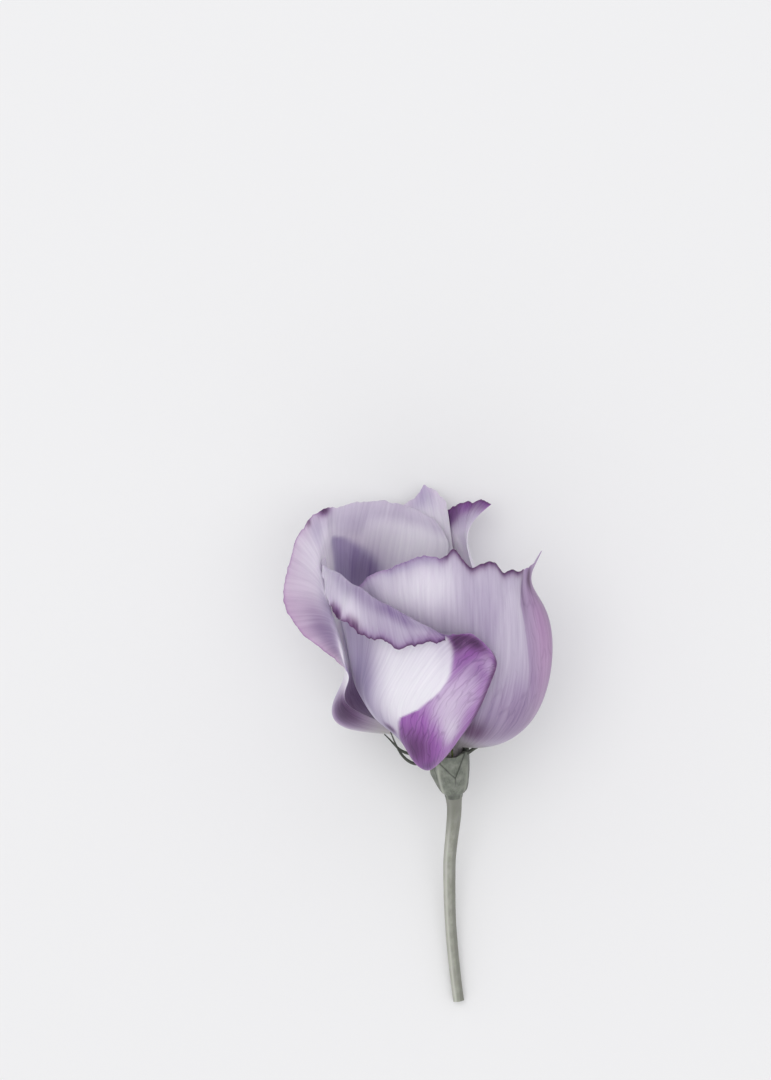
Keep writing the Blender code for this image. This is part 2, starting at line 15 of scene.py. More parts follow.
import bmesh
import bpy
import numpy as np
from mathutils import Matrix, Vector


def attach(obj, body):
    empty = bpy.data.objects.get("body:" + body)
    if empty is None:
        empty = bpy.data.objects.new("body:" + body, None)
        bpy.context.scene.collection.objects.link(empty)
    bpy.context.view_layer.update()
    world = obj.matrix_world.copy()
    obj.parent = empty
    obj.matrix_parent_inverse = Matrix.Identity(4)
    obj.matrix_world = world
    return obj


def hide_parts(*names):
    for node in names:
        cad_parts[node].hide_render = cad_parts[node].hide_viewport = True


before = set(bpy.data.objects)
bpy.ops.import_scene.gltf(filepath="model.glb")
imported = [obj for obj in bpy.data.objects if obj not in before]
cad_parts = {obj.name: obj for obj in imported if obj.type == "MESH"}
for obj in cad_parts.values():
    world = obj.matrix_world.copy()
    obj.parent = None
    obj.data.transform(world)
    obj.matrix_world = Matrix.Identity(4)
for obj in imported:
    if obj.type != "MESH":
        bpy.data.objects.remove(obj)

log = logging.getLogger("lisianthus")

MM = 0.001
SHIFT = np.array([0.14, 0.94, 0.0])      # brings the middle of the whole to the origin, as in the solids
CALYX_BASE = np.array([8.0, -11.6, 13.1])
CALYX_AXIS = np.array([-0.06, 0.927, 0.37])
CLAW_FOOT_AT = np.array([7.55, -5.6, 15.5])
CLAW_NECK_AT = np.array([7.22, -0.6, 17.5])
CLAW_FOOT_RADII = (2.4, 2.45)            # from one side of a petal's claw to the other
CLAW_NECK_RADII = (2.45, 2.8)
BLOOM_AXIS = np.array([-0.309, 0.861, 0.408])

Net = tuple[tuple[tuple[float, float, float], ...], ...]


class Side(Enum):
    """The two faces of a petal."""

    OUTER = 0
    INNER = 1
    BOTH = 2


class Pigment(Enum):
    """What colours a petal, each an attribute on its mesh, from 0 to 1, painted shade among them."""

    LAVENDER = "lavender"
    ROSE = "rose"
    VIOLET = "violet"
    PLUM = "plum"
    GREEN = "green"
    # painted shade in hollows, creases, under other petals and on sides turned from the light; it also greys
    # the petal's own tone
    GREY_AND_PAINTED_SHADE = "grey_and_painted_shade"


OUTER, INNER, BOTH = Side
LAVENDER, ROSE, VIOLET, PLUM, GREEN, GREY_AND_PAINTED_SHADE = Pigment


def linear(colour: str) -> tuple[float, float, float, float]:
    """Turns an sRGB hex colour into the linear values a shader takes.

    Args:
        colour: the colour as "#RRGGBB".

    Returns:
        Red, green, blue and a full alpha.
    """
    parts = [int(colour[i:i + 2], 16) / 255.0 for i in (1, 3, 5)]
    red, green, blue = (c / 12.92 if c <= 0.04045 else ((c + 0.055) / 1.055) ** 2.4 for c in parts)
    return red, green, blue, 1.0


# Nodes. The colours of a Mix node go in at 6 and 7 and come out at 2.


def plug(node: bpy.types.Node, inputs: dict) -> None:
    """Links or sets the inputs of a node.

    Args:
        node: the node.
        inputs: values, or sockets to link from, by the input's name or place.
    """
    for key, value in inputs.items():
        if isinstance(value, bpy.types.NodeSocket):
            node.id_data.links.new(value, node.inputs[key])
        else:
            node.inputs[key].default_value = value


def add_node(tree: bpy.types.NodeTree, kind: str, settings: dict | None = None,
             inputs: dict | None = None) -> bpy.types.Node:
    """Adds one node to a tree.

    Args:
        tree: the tree to add to.
        kind: the node's type name.
        settings: properties of the node by name.
        inputs: values, or sockets to link from, by the input's name or place.

    Returns:
        The new node.
    """
    made = tree.nodes.new(kind)
    for name, value in (settings or {}).items():
        setattr(made, name, value)
    plug(made, inputs or {})
    return made


def new_material(name: str) -> tuple[bpy.types.Material, bpy.types.NodeTree, bpy.types.Node]:
    """Makes a material.

    Args:
        name: the material's name.

    Returns:
        The material, its node tree and its shader.
    """
    material = bpy.data.materials.new(name)
    material.use_nodes = True
    tree = material.node_tree
    return material, tree, tree.nodes["Principled BSDF"]


def new_tree(name: str, inputs: dict[str, str]) -> tuple[bpy.types.GeometryNodeTree, bpy.types.NodeOutputs]:
    """Starts a geometry node tree.

    Args:
        name: the tree's name.
        inputs: the kind of each of its inputs, by the name of the input.

    Returns:
        The tree, and what its inputs give.
    """
    tree = bpy.data.node_groups.new(name, "GeometryNodeTree")
    tree.interface.new_socket("Result", in_out="OUTPUT", socket_type="NodeSocketGeometry")
    for label, kind in inputs.items():
        tree.interface.new_socket(label, in_out="INPUT", socket_type="NodeSocket" + kind)
    return tree, add_node(tree, "NodeGroupInput").outputs


def dressed(tree: bpy.types.GeometryNodeTree, geometry: bpy.types.NodeSocket,
            material: bpy.types.NodeSocket) -> bpy.types.NodeSocket:
    """Makes the instances of a geometry real and gives it its material."""
    real = add_node(tree, "GeometryNodeRealizeInstances", {}, {0: geometry}).outputs[0]
    return add_node(tree, "GeometryNodeSetMaterial", {}, {"Geometry": real, "Material": material}).outputs[0]


def grown(source: bpy.types.Object, tree: bpy.types.NodeTree, name: str, values: dict) -> bpy.types.Object:
    """Runs a node tree on an object and keeps the result as a plain mesh.

    Args:
        source: the object the tree works on, which is removed.
        tree: the node tree.
        name: the name of the result.
        values: the tree's inputs by name.

    Returns:
        The result.
    """
    modifier = source.modifiers.new("grow", "NODES")
    modifier.node_group = tree
    for socket in tree.interface.items_tree:
        if socket.in_out == "INPUT" and socket.name in values:
            modifier[socket.identifier] = values[socket.name]
    graph = bpy.context.evaluated_depsgraph_get()
    mesh = bpy.data.meshes.new_from_object(source.evaluated_get(graph), depsgraph=graph)
    mesh.name = name
    source.modifiers.remove(modifier)
    bpy.data.objects.remove(source, do_unlink=True)
    return linked(name, mesh)


# Shapes


def unit(vector: np.ndarray) -> np.ndarray:
    """The vector with length one."""
    vector = np.asarray(vector, float)
    return vector / np.linalg.norm(vector)


def frame_round(axis: np.ndarray) -> tuple[np.ndarray, np.ndarray]:
    """Finds two directions square to an axis.

    Args:
        axis: the axis.

    Returns:
        The one nearest straight up, and the one to its right.
    """
    axis = unit(axis)
    near = unit(np.array([0.0, 0.0, 1.0]) - axis[2] * axis)
    return near, np.cross(axis, near)


def smoothstep(low: float, high: float, value: np.ndarray) -> np.ndarray:
    """Rises smoothly from 0 at low to 1 at high, or falls where high is below low."""
    t = np.clip((np.asarray(value, float) - low) / (high - low), 0.0, 1.0)
    return t * t * (3.0 - 2.0 * t)


def ramp(low: float, high: float, value: float) -> float:
    """Rises evenly from 0 at low to 1 at high."""
    return min(1.0, max(0.0, (value - low) / (high - low)))


def spline(points: np.ndarray, knots: np.ndarray, at: np.ndarray) -> np.ndarray:
    """Reads a natural cubic curve.

    Args:
        points: the points it runs through, one a row.
        knots: the place of each point on the curve.
        at: the places wanted.

    Returns:
        One row for each place.
    """
    count = len(knots)
    step = np.diff(knots)
    slope = np.diff(points, axis=0) / step[:, None]
    bend = np.zeros_like(points)
    if count > 2:
        matrix = np.diag(2.0 * (step[:-1] + step[1:])) + np.diag(step[1:-1], 1) + np.diag(step[1:-1], -1)
        bend[1:-1] = np.linalg.solve(matrix, 6.0 * np.diff(slope, axis=0))
    piece = np.clip(np.searchsorted(knots, at, side="right") - 1, 0, count - 2)
    past = (at - knots[piece])[:, None]
    left = (knots[piece + 1] - at)[:, None]
    width = step[piece][:, None]
    return ((bend[piece] * left**3 + bend[piece + 1] * past**3) / (6.0 * width)
            + (points[piece] / width - bend[piece] * width / 6.0) * left
            + (points[piece + 1] / width - bend[piece + 1] * width / 6.0) * past)


def knots_of(gaps: np.ndarray) -> np.ndarray:
    """Turns the gaps between points into knots from 0 to 1."""
    total = np.concatenate([[0.0], np.cumsum(gaps)])
    return total / total[-1]


def smooth_path(points: Sequence[Sequence[float]], count: int) -> np.ndarray:
    """Draws a curve through points given with any number of values each.

    Args:
        points: the points.
        count: how many places are read off it.

    Returns:
        The curve at even steps, one place a row.
    """
    points = np.array(points, float)
    gaps = np.sqrt(np.linalg.norm(np.diff(points[:, :3], axis=0), axis=1))
    return spline(points, knots_of(gaps), np.linspace(0.0, 1.0, count))


def uneven(run: np.ndarray, pitch: float, seed: int) -> np.ndarray:
    """Draws an uneven wave with a mean spacing.

    Args:
        run: the distance along the wave at each place, in mm.
        pitch: the spacing of its knots.
        seed: the seed of the draw.

    Returns:
        Values from -1 to 1.
    """
    draw = np.random.default_rng(seed).uniform(-1.0, 1.0, int(run.max() / pitch) + 3)
    place = run / pitch
    low = place.astype(int)
    t = smoothstep(0.0, 1.0, place - low)
    return draw[low] * (1.0 - t) + draw[low + 1] * t


def linked(name: str, mesh: bpy.types.Mesh) -> bpy.types.Object:
    """Makes a smooth-shaded object at the origin.

    Args:
        name: the object's name.
        mesh: the mesh that it shows.

    Returns:
        The object, linked to the scene.
    """
    mesh.shade_smooth()
    made = bpy.data.objects.new(name, mesh)
    bpy.context.scene.collection.objects.link(made)
    return made


def new_mesh(name: str, vertices: np.ndarray, faces: Iterable[Sequence[int]]) -> bpy.types.Object:
    """Makes a smooth-shaded object from points and faces.

    Args:
        name: the object's name.
        vertices: the points in mm, before the shift that centres the whole.
        faces: the faces, as places in the list of points.

    Returns:
        The object, linked to the scene.
    """
    mesh = bpy.data.meshes.new(name)
    mesh.from_pydata(((np.asarray(vertices) + SHIFT) * MM).tolist(), [], [list(f) for f in faces])
    return linked(name, mesh)


def closed_mesh(name: str, bodies: Sequence[np.ndarray]) -> bpy.types.Object:
    """Makes one object of closed bodies that are each lofted through rings, facing outwards.

    Args:
        name: the object's name.
        bodies: each body's rings, as count of rings by points in a ring by 3.

    Returns:
        The object, linked to the scene.
    """
    faces: list[Sequence[int]] = []
    start = 0
    for rings in bodies:
        rows, count = rings.shape[:2]
        for row in range(start, start + (rows - 1) * count, count):
            for i in range(count):
                n = (i + 1) % count
                faces.append((row + i, row + n, row + count + n, row + count + i))
        faces.append(range(start + count - 1, start - 1, -1))
        faces.append(range(start + (rows - 1) * count, start + rows * count))
        start += rows * count
    made = new_mesh(name, np.concatenate([rings.reshape(-1, 3) for rings in bodies]), faces)
    work = bmesh.new()
    work.from_mesh(made.data)
    bmesh.ops.recalc_face_normals(work, faces=work.faces)
    work.to_mesh(made.data)
    work.free()
    return made


def rod_rings(path: np.ndarray, radii: np.ndarray, sides: int) -> np.ndarray:
    """Rings of a round rod along a path, turned without twist.

    Args:
        path: the middle line.
        radii: the radius at each point of it.
        sides: points in a ring.

    Returns:
        The rings.
    """
    along = np.gradient(path, axis=0)
    along /= np.linalg.norm(along, axis=1, keepdims=True)
    one = unit(np.cross(along[0], np.array([0.31, 0.17, 0.93])))     # any direction off the path will do
    turns = np.linspace(0.0, 2.0 * math.pi, sides, endpoint=False)[:, None]
    rings = []
    for point, direction, radius in zip(path, along, radii):
        one = unit(one - direction * np.dot(one, direction))
        two = np.cross(direction, one)
        rings.append(point + radius * (np.cos(turns) * one + np.sin(turns) * two))
    return np.array(rings)


def store(made: bpy.types.Object, name: str, values: np.ndarray) -> None:
    """Keeps one number for each point of a mesh, for its material to read."""
    attribute = made.data.attributes.new(name, "FLOAT", "POINT")
    attribute.data.foreach_set("value", np.asarray(values, np.float32).ravel())


def settle(made: bpy.types.Object, nodes: Sequence[str]) -> None:
    """Puts a finished piece in the place of its solids.

    Args:
        made: the piece.
        nodes: the solids it stands for.
    """
    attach(made, "root")
    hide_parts(*nodes)
    log.info("%s stands for %s with %d faces", made.name, ", ".join(nodes), len(made.data.polygons))


# The petals


@dataclass(frozen=True)
class Blot:
    """A soft patch of pigment."""

    across: float                 # its middle, 0 to 1 across the petal and along it
    along: float
    half_across: float            # its half widths, in the same measure
    half_along: float
    depth: float


@dataclass(frozen=True)
class Wash:
    """Pigment on one side of a line drawn along the petal."""

    edge: tuple[tuple[float, float], ...]     # (place along, place across) of its middle line
    soft: float                               # width of its soft edge, + to the right and - to the left
    depth: float
    along: tuple[float, ...] = (-1.0, 0.0)    # fades in between these two, and out between two more


@dataclass(frozen=True)
class Hem:
    """Pigment that fades in towards the margin."""

    width: float                  # mm from the margin
    depth: float
    span: tuple[float, ...] = (-1.0, 0.0)     # across: fades in, and out, as above


def coat(depth: float, *along: float) -> Wash:
    """A wash over the whole width of the petal."""
    return Wash(((0.0, 0.0), (1.0, 0.0)), 0.001, depth, along or (-1.0, 0.0))


class Layer:
    """Strokes of one pigment on one side of a petal. Those of negative depth take pigment off."""

    def __init__(self, pigment: Pigment, side: Side, *strokes: Blot | Wash | Hem) -> None:
        """Keeps the strokes.

        Args:
            pigment: the pigment.
            side: the side.
            strokes: the strokes, in the order in which they are laid.
        """
        self.pigment = pigment
        self.sides = (0, 1) if side is BOTH else (side.value,)
        self.strokes = strokes


@dataclass(frozen=True)
class PetalFinish:
    """Fresh petal: thin wet cells with a velvet of tiny cones, so it is satin, never glossy.

    The purple pigments are sap colours that filter the light of the white ground, so they multiply it, as
    does the painted shade.
    They lie a little unevenly along the veins, which gives the fine silky lines, and a net of darker
    veins shows where there is much of them.
    """

    ground: str = "#F2EFF5"
    streak: str = "#CFC5D8"
    lavender: str = "#937DB8"
    rose: str = "#CC93C3"
    violet: str = "#A863B8"
    plum: str = "#824A80"
    green: str = "#8D8C80"
    # colour of the painted shade, which also greys the petal's tone
    grey_and_painted_shade: str = "#8A719F"
    vein: str = "#8A5A98"
    vein_spacing: float = 1.5     # mm between the main veins
    vein_width: float = 0.09      # share of the spacing
    streak_width: float = 0.45    # mm across one silky streak, coarser than life so that it shows
    streak_length: float = 11.0
    sway: float = 1.5             # how far the veins wander, mm
    relief: float = 0.05          # height of the silky ridges, mm
    roughness: float = 0.55
    name: str = "petal_satin"

    def build(self) -> bpy.types.Material:
        """Builds the petal material, which reads the pigments and the vein map off each petal.

        Returns:
            The material.
        """
        material, tree, shader = new_material(self.name)
        flat, mix = {"noise_dimensions": "2D"}, {"data_type": "RGBA"}
        veins = add_node(tree, "ShaderNodeUVMap", {"uv_map": "veins"}).outputs[0]

        # Three grains that run along the petal: silky streaks, finer ridges and broad bands.
        grains = []
        for width, length, detail in (
                (self.streak_width, self.streak_length, 2.0), (self.streak_width * 0.4, 5.0, 1.0),
                (self.vein_spacing * 1.6, 16.0, 1.0)):
            laid = add_node(tree, "ShaderNodeMapping", {}, {0: veins, 3: (1.0 / width, 1.0 / length, 1.0)})
            inputs = {"Vector": laid.outputs[0], "Scale": 1.0, "Detail": detail, "Roughness": 0.55}
            grains.append(add_node(tree, "ShaderNodeTexNoise", flat, inputs).outputs[0])
        silk, fine, broad = grains

        # The veins are the edges between long cells, which a slow noise makes wander.
        swing = add_node(tree, "ShaderNodeTexNoise", flat, {"Vector": veins, "Scale": 0.35})
        bent = add_node(tree, "ShaderNodeVectorMath", {"operation": "MULTIPLY_ADD"},
                        {0: swing.outputs["Color"], 1: (self.sway, self.sway, 0.0), 2: veins})
        laid = add_node(tree, "ShaderNodeMapping", {},
                        {0: bent.outputs[0], 3: (1.0 / self.vein_spacing, 0.16 / self.vein_spacing, 1.0)})
        cells = add_node(tree, "ShaderNodeTexVoronoi",
                         {"voronoi_dimensions": "2D", "feature": "DISTANCE_TO_EDGE"},
                         {"Vector": laid.outputs[0], "Scale": 1.0})
        vein, pale, streaky, cloudy = (
            add_node(tree, "ShaderNodeMapRange", {}, dict(enumerate(inputs))).outputs[0] for inputs in (
                (cells.outputs["Distance"], 0.0, self.vein_width, 1.0, 0.0), (silk, 0.3, 0.8, 0.0, 0.26),
                (silk, 0.3, 0.7, -0.05, 0.05), (broad, 0.3, 0.7, -0.07, 0.07)))

        # The pale ground with its streaks, and the pigments, painted shade among them, over it one by one.
        colour = add_node(tree, "ShaderNodeMix", mix,
                          {0: pale, 6: linear(self.ground), 7: linear(self.streak)})
        amounts: dict[Pigment, bpy.types.NodeSocket] = {}
        for pigment in Pigment:
            raw = add_node(tree, "ShaderNodeAttribute", {"attribute_name": pigment.value}).outputs["Fac"]
            drawn = add_node(tree, "ShaderNodeMath", {"operation": "MULTIPLY_ADD"},
                             {0: streaky, 1: raw, 2: raw})
            drawn = add_node(tree, "ShaderNodeMath", {"operation": "MULTIPLY_ADD", "use_clamp": True},
                             {0: cloudy, 1: raw, 2: drawn.outputs[0]})
            amounts[pigment] = drawn.outputs[0]
            way = {} if pigment is GREEN else {"blend_type": "MULTIPLY"}
            colour = add_node(tree, "ShaderNodeMix", mix | way, {
                0: drawn.outputs[0], 6: colour.outputs[2], 7: linear(getattr(self, pigment.value))})

        # The veins show most where there is much violet.
        inked = add_node(tree, "ShaderNodeMath", {"operation": "MULTIPLY_ADD", "use_clamp": True},
                         {0: amounts[VIOLET], 1: 0.42, 2: 0.03})
        inked = add_node(tree, "ShaderNodeMath", {"operation": "MULTIPLY"}, {0: vein, 1: inked.outputs[0]})
        colour = add_node(tree, "ShaderNodeMix", mix | {"blend_type": "MULTIPLY"},
                          {0: inked.outputs[0], 6: colour.outputs[2], 7: linear(self.vein)})

        relief = add_node(tree, "ShaderNodeMath", {"operation": "MULTIPLY_ADD"}, {0: fine, 1: 0.5, 2: silk})
        bump = add_node(tree, "ShaderNodeBump", {},
                        {"Strength": 0.25, "Distance": self.relief * MM, "Height": relief.outputs[0]})
        plug(shader, {"Base Color": colour.outputs[2], "Normal": bump.outputs[0], "Roughness": self.roughness,
                      "Sheen Weight": 0.12, "Subsurface Weight": 0.35, "Subsurface Radius": (1.0, 0.75, 1.0),
                      "Subsurface Scale": 0.8 * MM})
        return material


@dataclass
class Petal:
    """One petal, a thin blade run through a net of points from its foot in the calyx to its rim."""

    node: str
    claw: tuple[float, float]        # the span of angles of its foot round the calyx
    waves: tuple[tuple[float, float, float, float], ...]    # margin: place and half width across, reach, lift
    rows: Net                        # past the calyx, one row across for each step outwards
    paint: tuple[Layer, ...]
    lean: tuple[float, float] = (0.0, 0.0)    # the veins slant across by the first, from the second along on
    size: tuple[int, int] = (300, 110)        # points across and along
    tooth: float = 1.1               # spacing of the fine teeth of the margin
    bite: float = 0.22               # how deep they are
    seed: int = 3
    width: float = 46.0              # mean width and length, for the vein map and the thinned sides
    length: float = 55.0
    thick: float = 0.4               # in the middle
    margin: float = 0.14             # at the margin
    thins_over: float = 2.2
    foot: float = 0.12               # share of the length that is kept thick inside the calyx
    rim_crowds: float = 1.25         # more than 1 sets the rows closer towards the rim
    ruffle_from: float = 0.70        # share of the length where the margin's waves begin,
    frill_from: float = 0.82         # its small frills
    teeth_from: float = 0.93         # and its teeth
    corner: float = 0.03             # share of the width over which they fade at both sides
    vein_shifts: tuple[float, float] = (7.0, 40.0)    # mm from petal to petal and from face to face

    def net(self) -> np.ndarray:
        """Finds all the points that the petal runs through.

        Returns:
            The net, foot rows first.
        """
        near, side = frame_round(CALYX_AXIS)
        count = len(self.rows[0])
        turns = np.radians(np.linspace(*self.claw, count))[:, None]
        round_it = np.cos(turns) * near + np.sin(turns) * side
        foot = CLAW_FOOT_AT + np.linspace(*CLAW_FOOT_RADII, count)[:, None] * round_it
        neck = CLAW_NECK_AT + np.linspace(*CLAW_NECK_RADII, count)[:, None] * round_it
        return np.concatenate([[foot, (foot + neck) / 2.0, neck], np.array(self.rows, float)])

    @staticmethod
    def knots(net: np.ndarray, axis: int) -> np.ndarray:
        """Knots shared by a whole net, along it for axis 0 and across it for axis 1."""
        return knots_of(np.sqrt(np.linalg.norm(np.diff(net, axis=axis), axis=2)).mean(axis=1 - axis))

    @staticmethod
    def normals(points: np.ndarray) -> np.ndarray:
        """Unit normals of a grid of points."""
        cross = np.cross(np.gradient(points, axis=1), np.gradient(points, axis=0))
        return cross / np.linalg.norm(cross, axis=2, keepdims=True)

    def middle(self, across: np.ndarray, along: np.ndarray) -> np.ndarray:
        """The middle of the blade with its waved and finely toothed margin.

        Args:
            across: places across, 0 to 1.
            along: places along, 0 to 1.

        Returns:
            A grid of points, one row for each place along.
        """
        def grow(begin: float) -> np.ndarray:
            """Grows from 0 at begin to 1 at the rim, slowly at first."""
            return (np.clip((along - begin) / (1.0 - begin), 0.0, 1.0) ** 2)[:, None, None]

        net = self.net()
        rows = np.stack([spline(row, self.knots(net[3:], 1), across) for row in net])
        points = np.stack([spline(rows[:, j], self.knots(net, 0), along) for j in range(len(across))], axis=1)
        out = np.gradient(points, axis=0)
        out /= np.linalg.norm(out, axis=2, keepdims=True)
        lift = self.normals(points)
        for place, half, reach, rise in self.waves:
            swell = grow(self.ruffle_from) * np.exp(-(((across - place) / half) ** 2))[None, :, None]
            points = points + swell * (reach * out + rise * lift)
        run = np.concatenate([[0.0], np.cumsum(np.linalg.norm(np.diff(points[-1], axis=0), axis=1))])
        ends = np.minimum(1.0, np.minimum(across, 1.0 - across) / self.corner)
        teeth = uneven(run, self.tooth, self.seed) + 0.5 * uneven(run, self.tooth * 0.45, self.seed + 1)
        frill = ends * uneven(run, self.tooth * 2.3, self.seed + 2)
        points = points + grow(self.teeth_from) * (ends * teeth)[None, :, None] * self.bite * out
        return points + grow(self.frill_from) * frill[None, :, None] * self.bite * lift

    def pigments(self, across: np.ndarray, along: np.ndarray, from_rim: np.ndarray) -> np.ndarray:
        """How much of each pigment lies on each face.

        Args:
            across: places across.
            along: places along.
            from_rim: distance of each point of the grid from the margin, in mm.

        Returns:
            The amounts, by pigment, face, row and column.
        """
        kinds = list(Pigment)
        amounts = np.zeros((len(kinds), 2, len(along), len(across)))
        u, v = np.meshgrid(across, along)
        for layer in self.paint:
            for stroke in layer.strokes:
                if isinstance(stroke, Blot):
                    du = (u - stroke.across) / stroke.half_across
                    dv = (v - stroke.along) / stroke.half_along
                    laid = np.exp(-(du**2 + dv**2) ** 1.3)
                elif isinstance(stroke, Wash):
                    begin = np.interp(v, *zip(*stroke.edge))
                    laid = smoothstep(-0.5, 0.5, (u - begin) / stroke.soft) * self.window(v, stroke.along)
                else:
                    laid = np.exp(-((from_rim / stroke.width) ** 1.5)) * self.window(u, stroke.span)
                for side in layer.sides:
                    held = amounts[kinds.index(layer.pigment), side]
                    room = 1.0 - held if stroke.depth > 0.0 else held
                    held += room * stroke.depth * laid
        return np.clip(amounts, 0.0, 1.0)

    @staticmethod
    def window(place: np.ndarray, limits: tuple[float, ...]) -> np.ndarray:
        """Rises between the first two limits, and falls between two more if they are given."""
        rise = smoothstep(*limits[:2], place)
        return rise if len(limits) == 2 else rise * (1.0 - smoothstep(*limits[2:], place))

    def build(self, material: bpy.types.Material) -> None:
        """Makes the petal and lays its pigments on it.

        Args:
            material: the petal finish.
        """
        columns, rows = self.size
        across = np.linspace(0.0, 1.0, columns)
        along = 1.0 - (1.0 - np.linspace(0.0, 1.0, rows)) ** self.rim_crowds
        middle = self.middle(across, along)
        lift = self.normals(middle)
        step = np.linalg.norm(np.diff(middle, axis=0), axis=2)
        from_rim = np.concatenate([np.cumsum(step[::-1], axis=0)[::-1], np.zeros((1, columns))])
        blade = self.blade(middle, lift, self.thickness(across, along, from_rim))
        made = new_mesh(self.node + "_blade", np.concatenate([face.reshape(-1, 3) for face in blade]),
                        self.closed_faces(columns, rows))
        made.data.materials.append(material)

        heart = middle[rows // 2, columns // 2]
        reach = np.dot(heart - CLAW_NECK_AT, unit(BLOOM_AXIS))
        outer_first = np.dot(lift[rows // 2, columns // 2], heart - bloom_line(reach)) > 0.0
        for kind, sides in zip(Pigment, self.pigments(across, along, from_rim)):
            store(made, kind.value, sides if outer_first else sides[::-1])
        self.lay_veins(made, across, along)
        settle(made, [self.node])

    def thickness(self, across: np.ndarray, along: np.ndarray, from_rim: np.ndarray) -> np.ndarray:
        """How thick the blade is at each point of its grid.

        Args:
            across: places across.
            along: places along.
            from_rim: distance of each point of the grid from the rim, in mm.

        Returns:
            The thickness in mm.
        """
        from_side = np.minimum(across, 1.0 - across)[None, :] * self.width
        by_rim, by_side = (smoothstep(0.0, self.thins_over, distance) for distance in (from_rim, from_side))
        thick = self.margin + (self.thick - self.margin) * np.minimum(by_rim, by_side)
        return np.where(along[:, None] < self.foot, np.maximum(thick, self.thick * 0.8), thick)

    @staticmethod
    def blade(middle: np.ndarray, lift: np.ndarray, thick: np.ndarray) -> list[np.ndarray]:
        """The two faces of the blade, pressed flat where it lies on the ground.

        Args:
            middle: the points half way through it.
            lift: their normals.
            thick: their thickness.

        Returns:
            The two grids of points.
        """
        faces = [middle + lift * thick[..., None] / 2.0, middle - lift * thick[..., None] / 2.0]
        for face in faces:
            face[..., 2] = np.maximum(face[..., 2], 0.0)
        low, high = sorted((face[..., 2] for face in faces), key=np.min)
        high[:] = np.where(low <= 0.0, np.maximum(high, thick), high)
        return faces

    def lay_veins(self, made: bpy.types.Object, across: np.ndarray, along: np.ndarray) -> None:
        """Writes the vein map, in mm across and along the petal, on to its mesh.

        Args:
            made: the petal.
            across: places across.
            along: places along.
        """
        u, v = np.meshgrid(across, along)
        u = u - self.lean[0] * np.maximum(v - self.lean[1], 0.0)
        by_petal, by_face = self.vein_shifts
        laid = np.stack([u * self.width + by_petal * self.seed, v * self.length], axis=2).reshape(-1, 2)
        laid = np.concatenate([laid, laid + np.array([0.0, by_face])])
        corners = np.empty(len(made.data.loops), int)
        made.data.loops.foreach_get("vertex_index", corners)
        layer = made.data.uv_layers.new(name="veins")
        layer.data.foreach_set("uv", laid[corners].astype(np.float32).ravel())

    @staticmethod
    def closed_faces(columns: int, rows: int) -> list[tuple[int, ...]]:
        """The faces of two grids back to back, closed round their margin.

        Args:
            columns: points across.
            rows: points along.

        Returns:
            The faces.
        """
        half = columns * rows
        faces: list[tuple[int, ...]] = []
        for j in range(rows - 1):
            for i in range(columns - 1):
                a = j * columns + i
                quad = (a, a + 1, a + columns + 1, a + columns)
                faces.append(quad)
                faces.append(tuple(half + k for k in reversed(quad)))
        ring = list(range(columns)) + [j * columns + columns - 1 for j in range(1, rows)]
        ring += [(rows - 1) * columns + i for i in range(columns - 2, -1, -1)]
        ring += [j * columns for j in range(rows - 2, 0, -1)]
        for a, b in zip(ring, ring[1:] + ring[:1]):
            faces.append((a, half + a, half + b, b))
        return faces


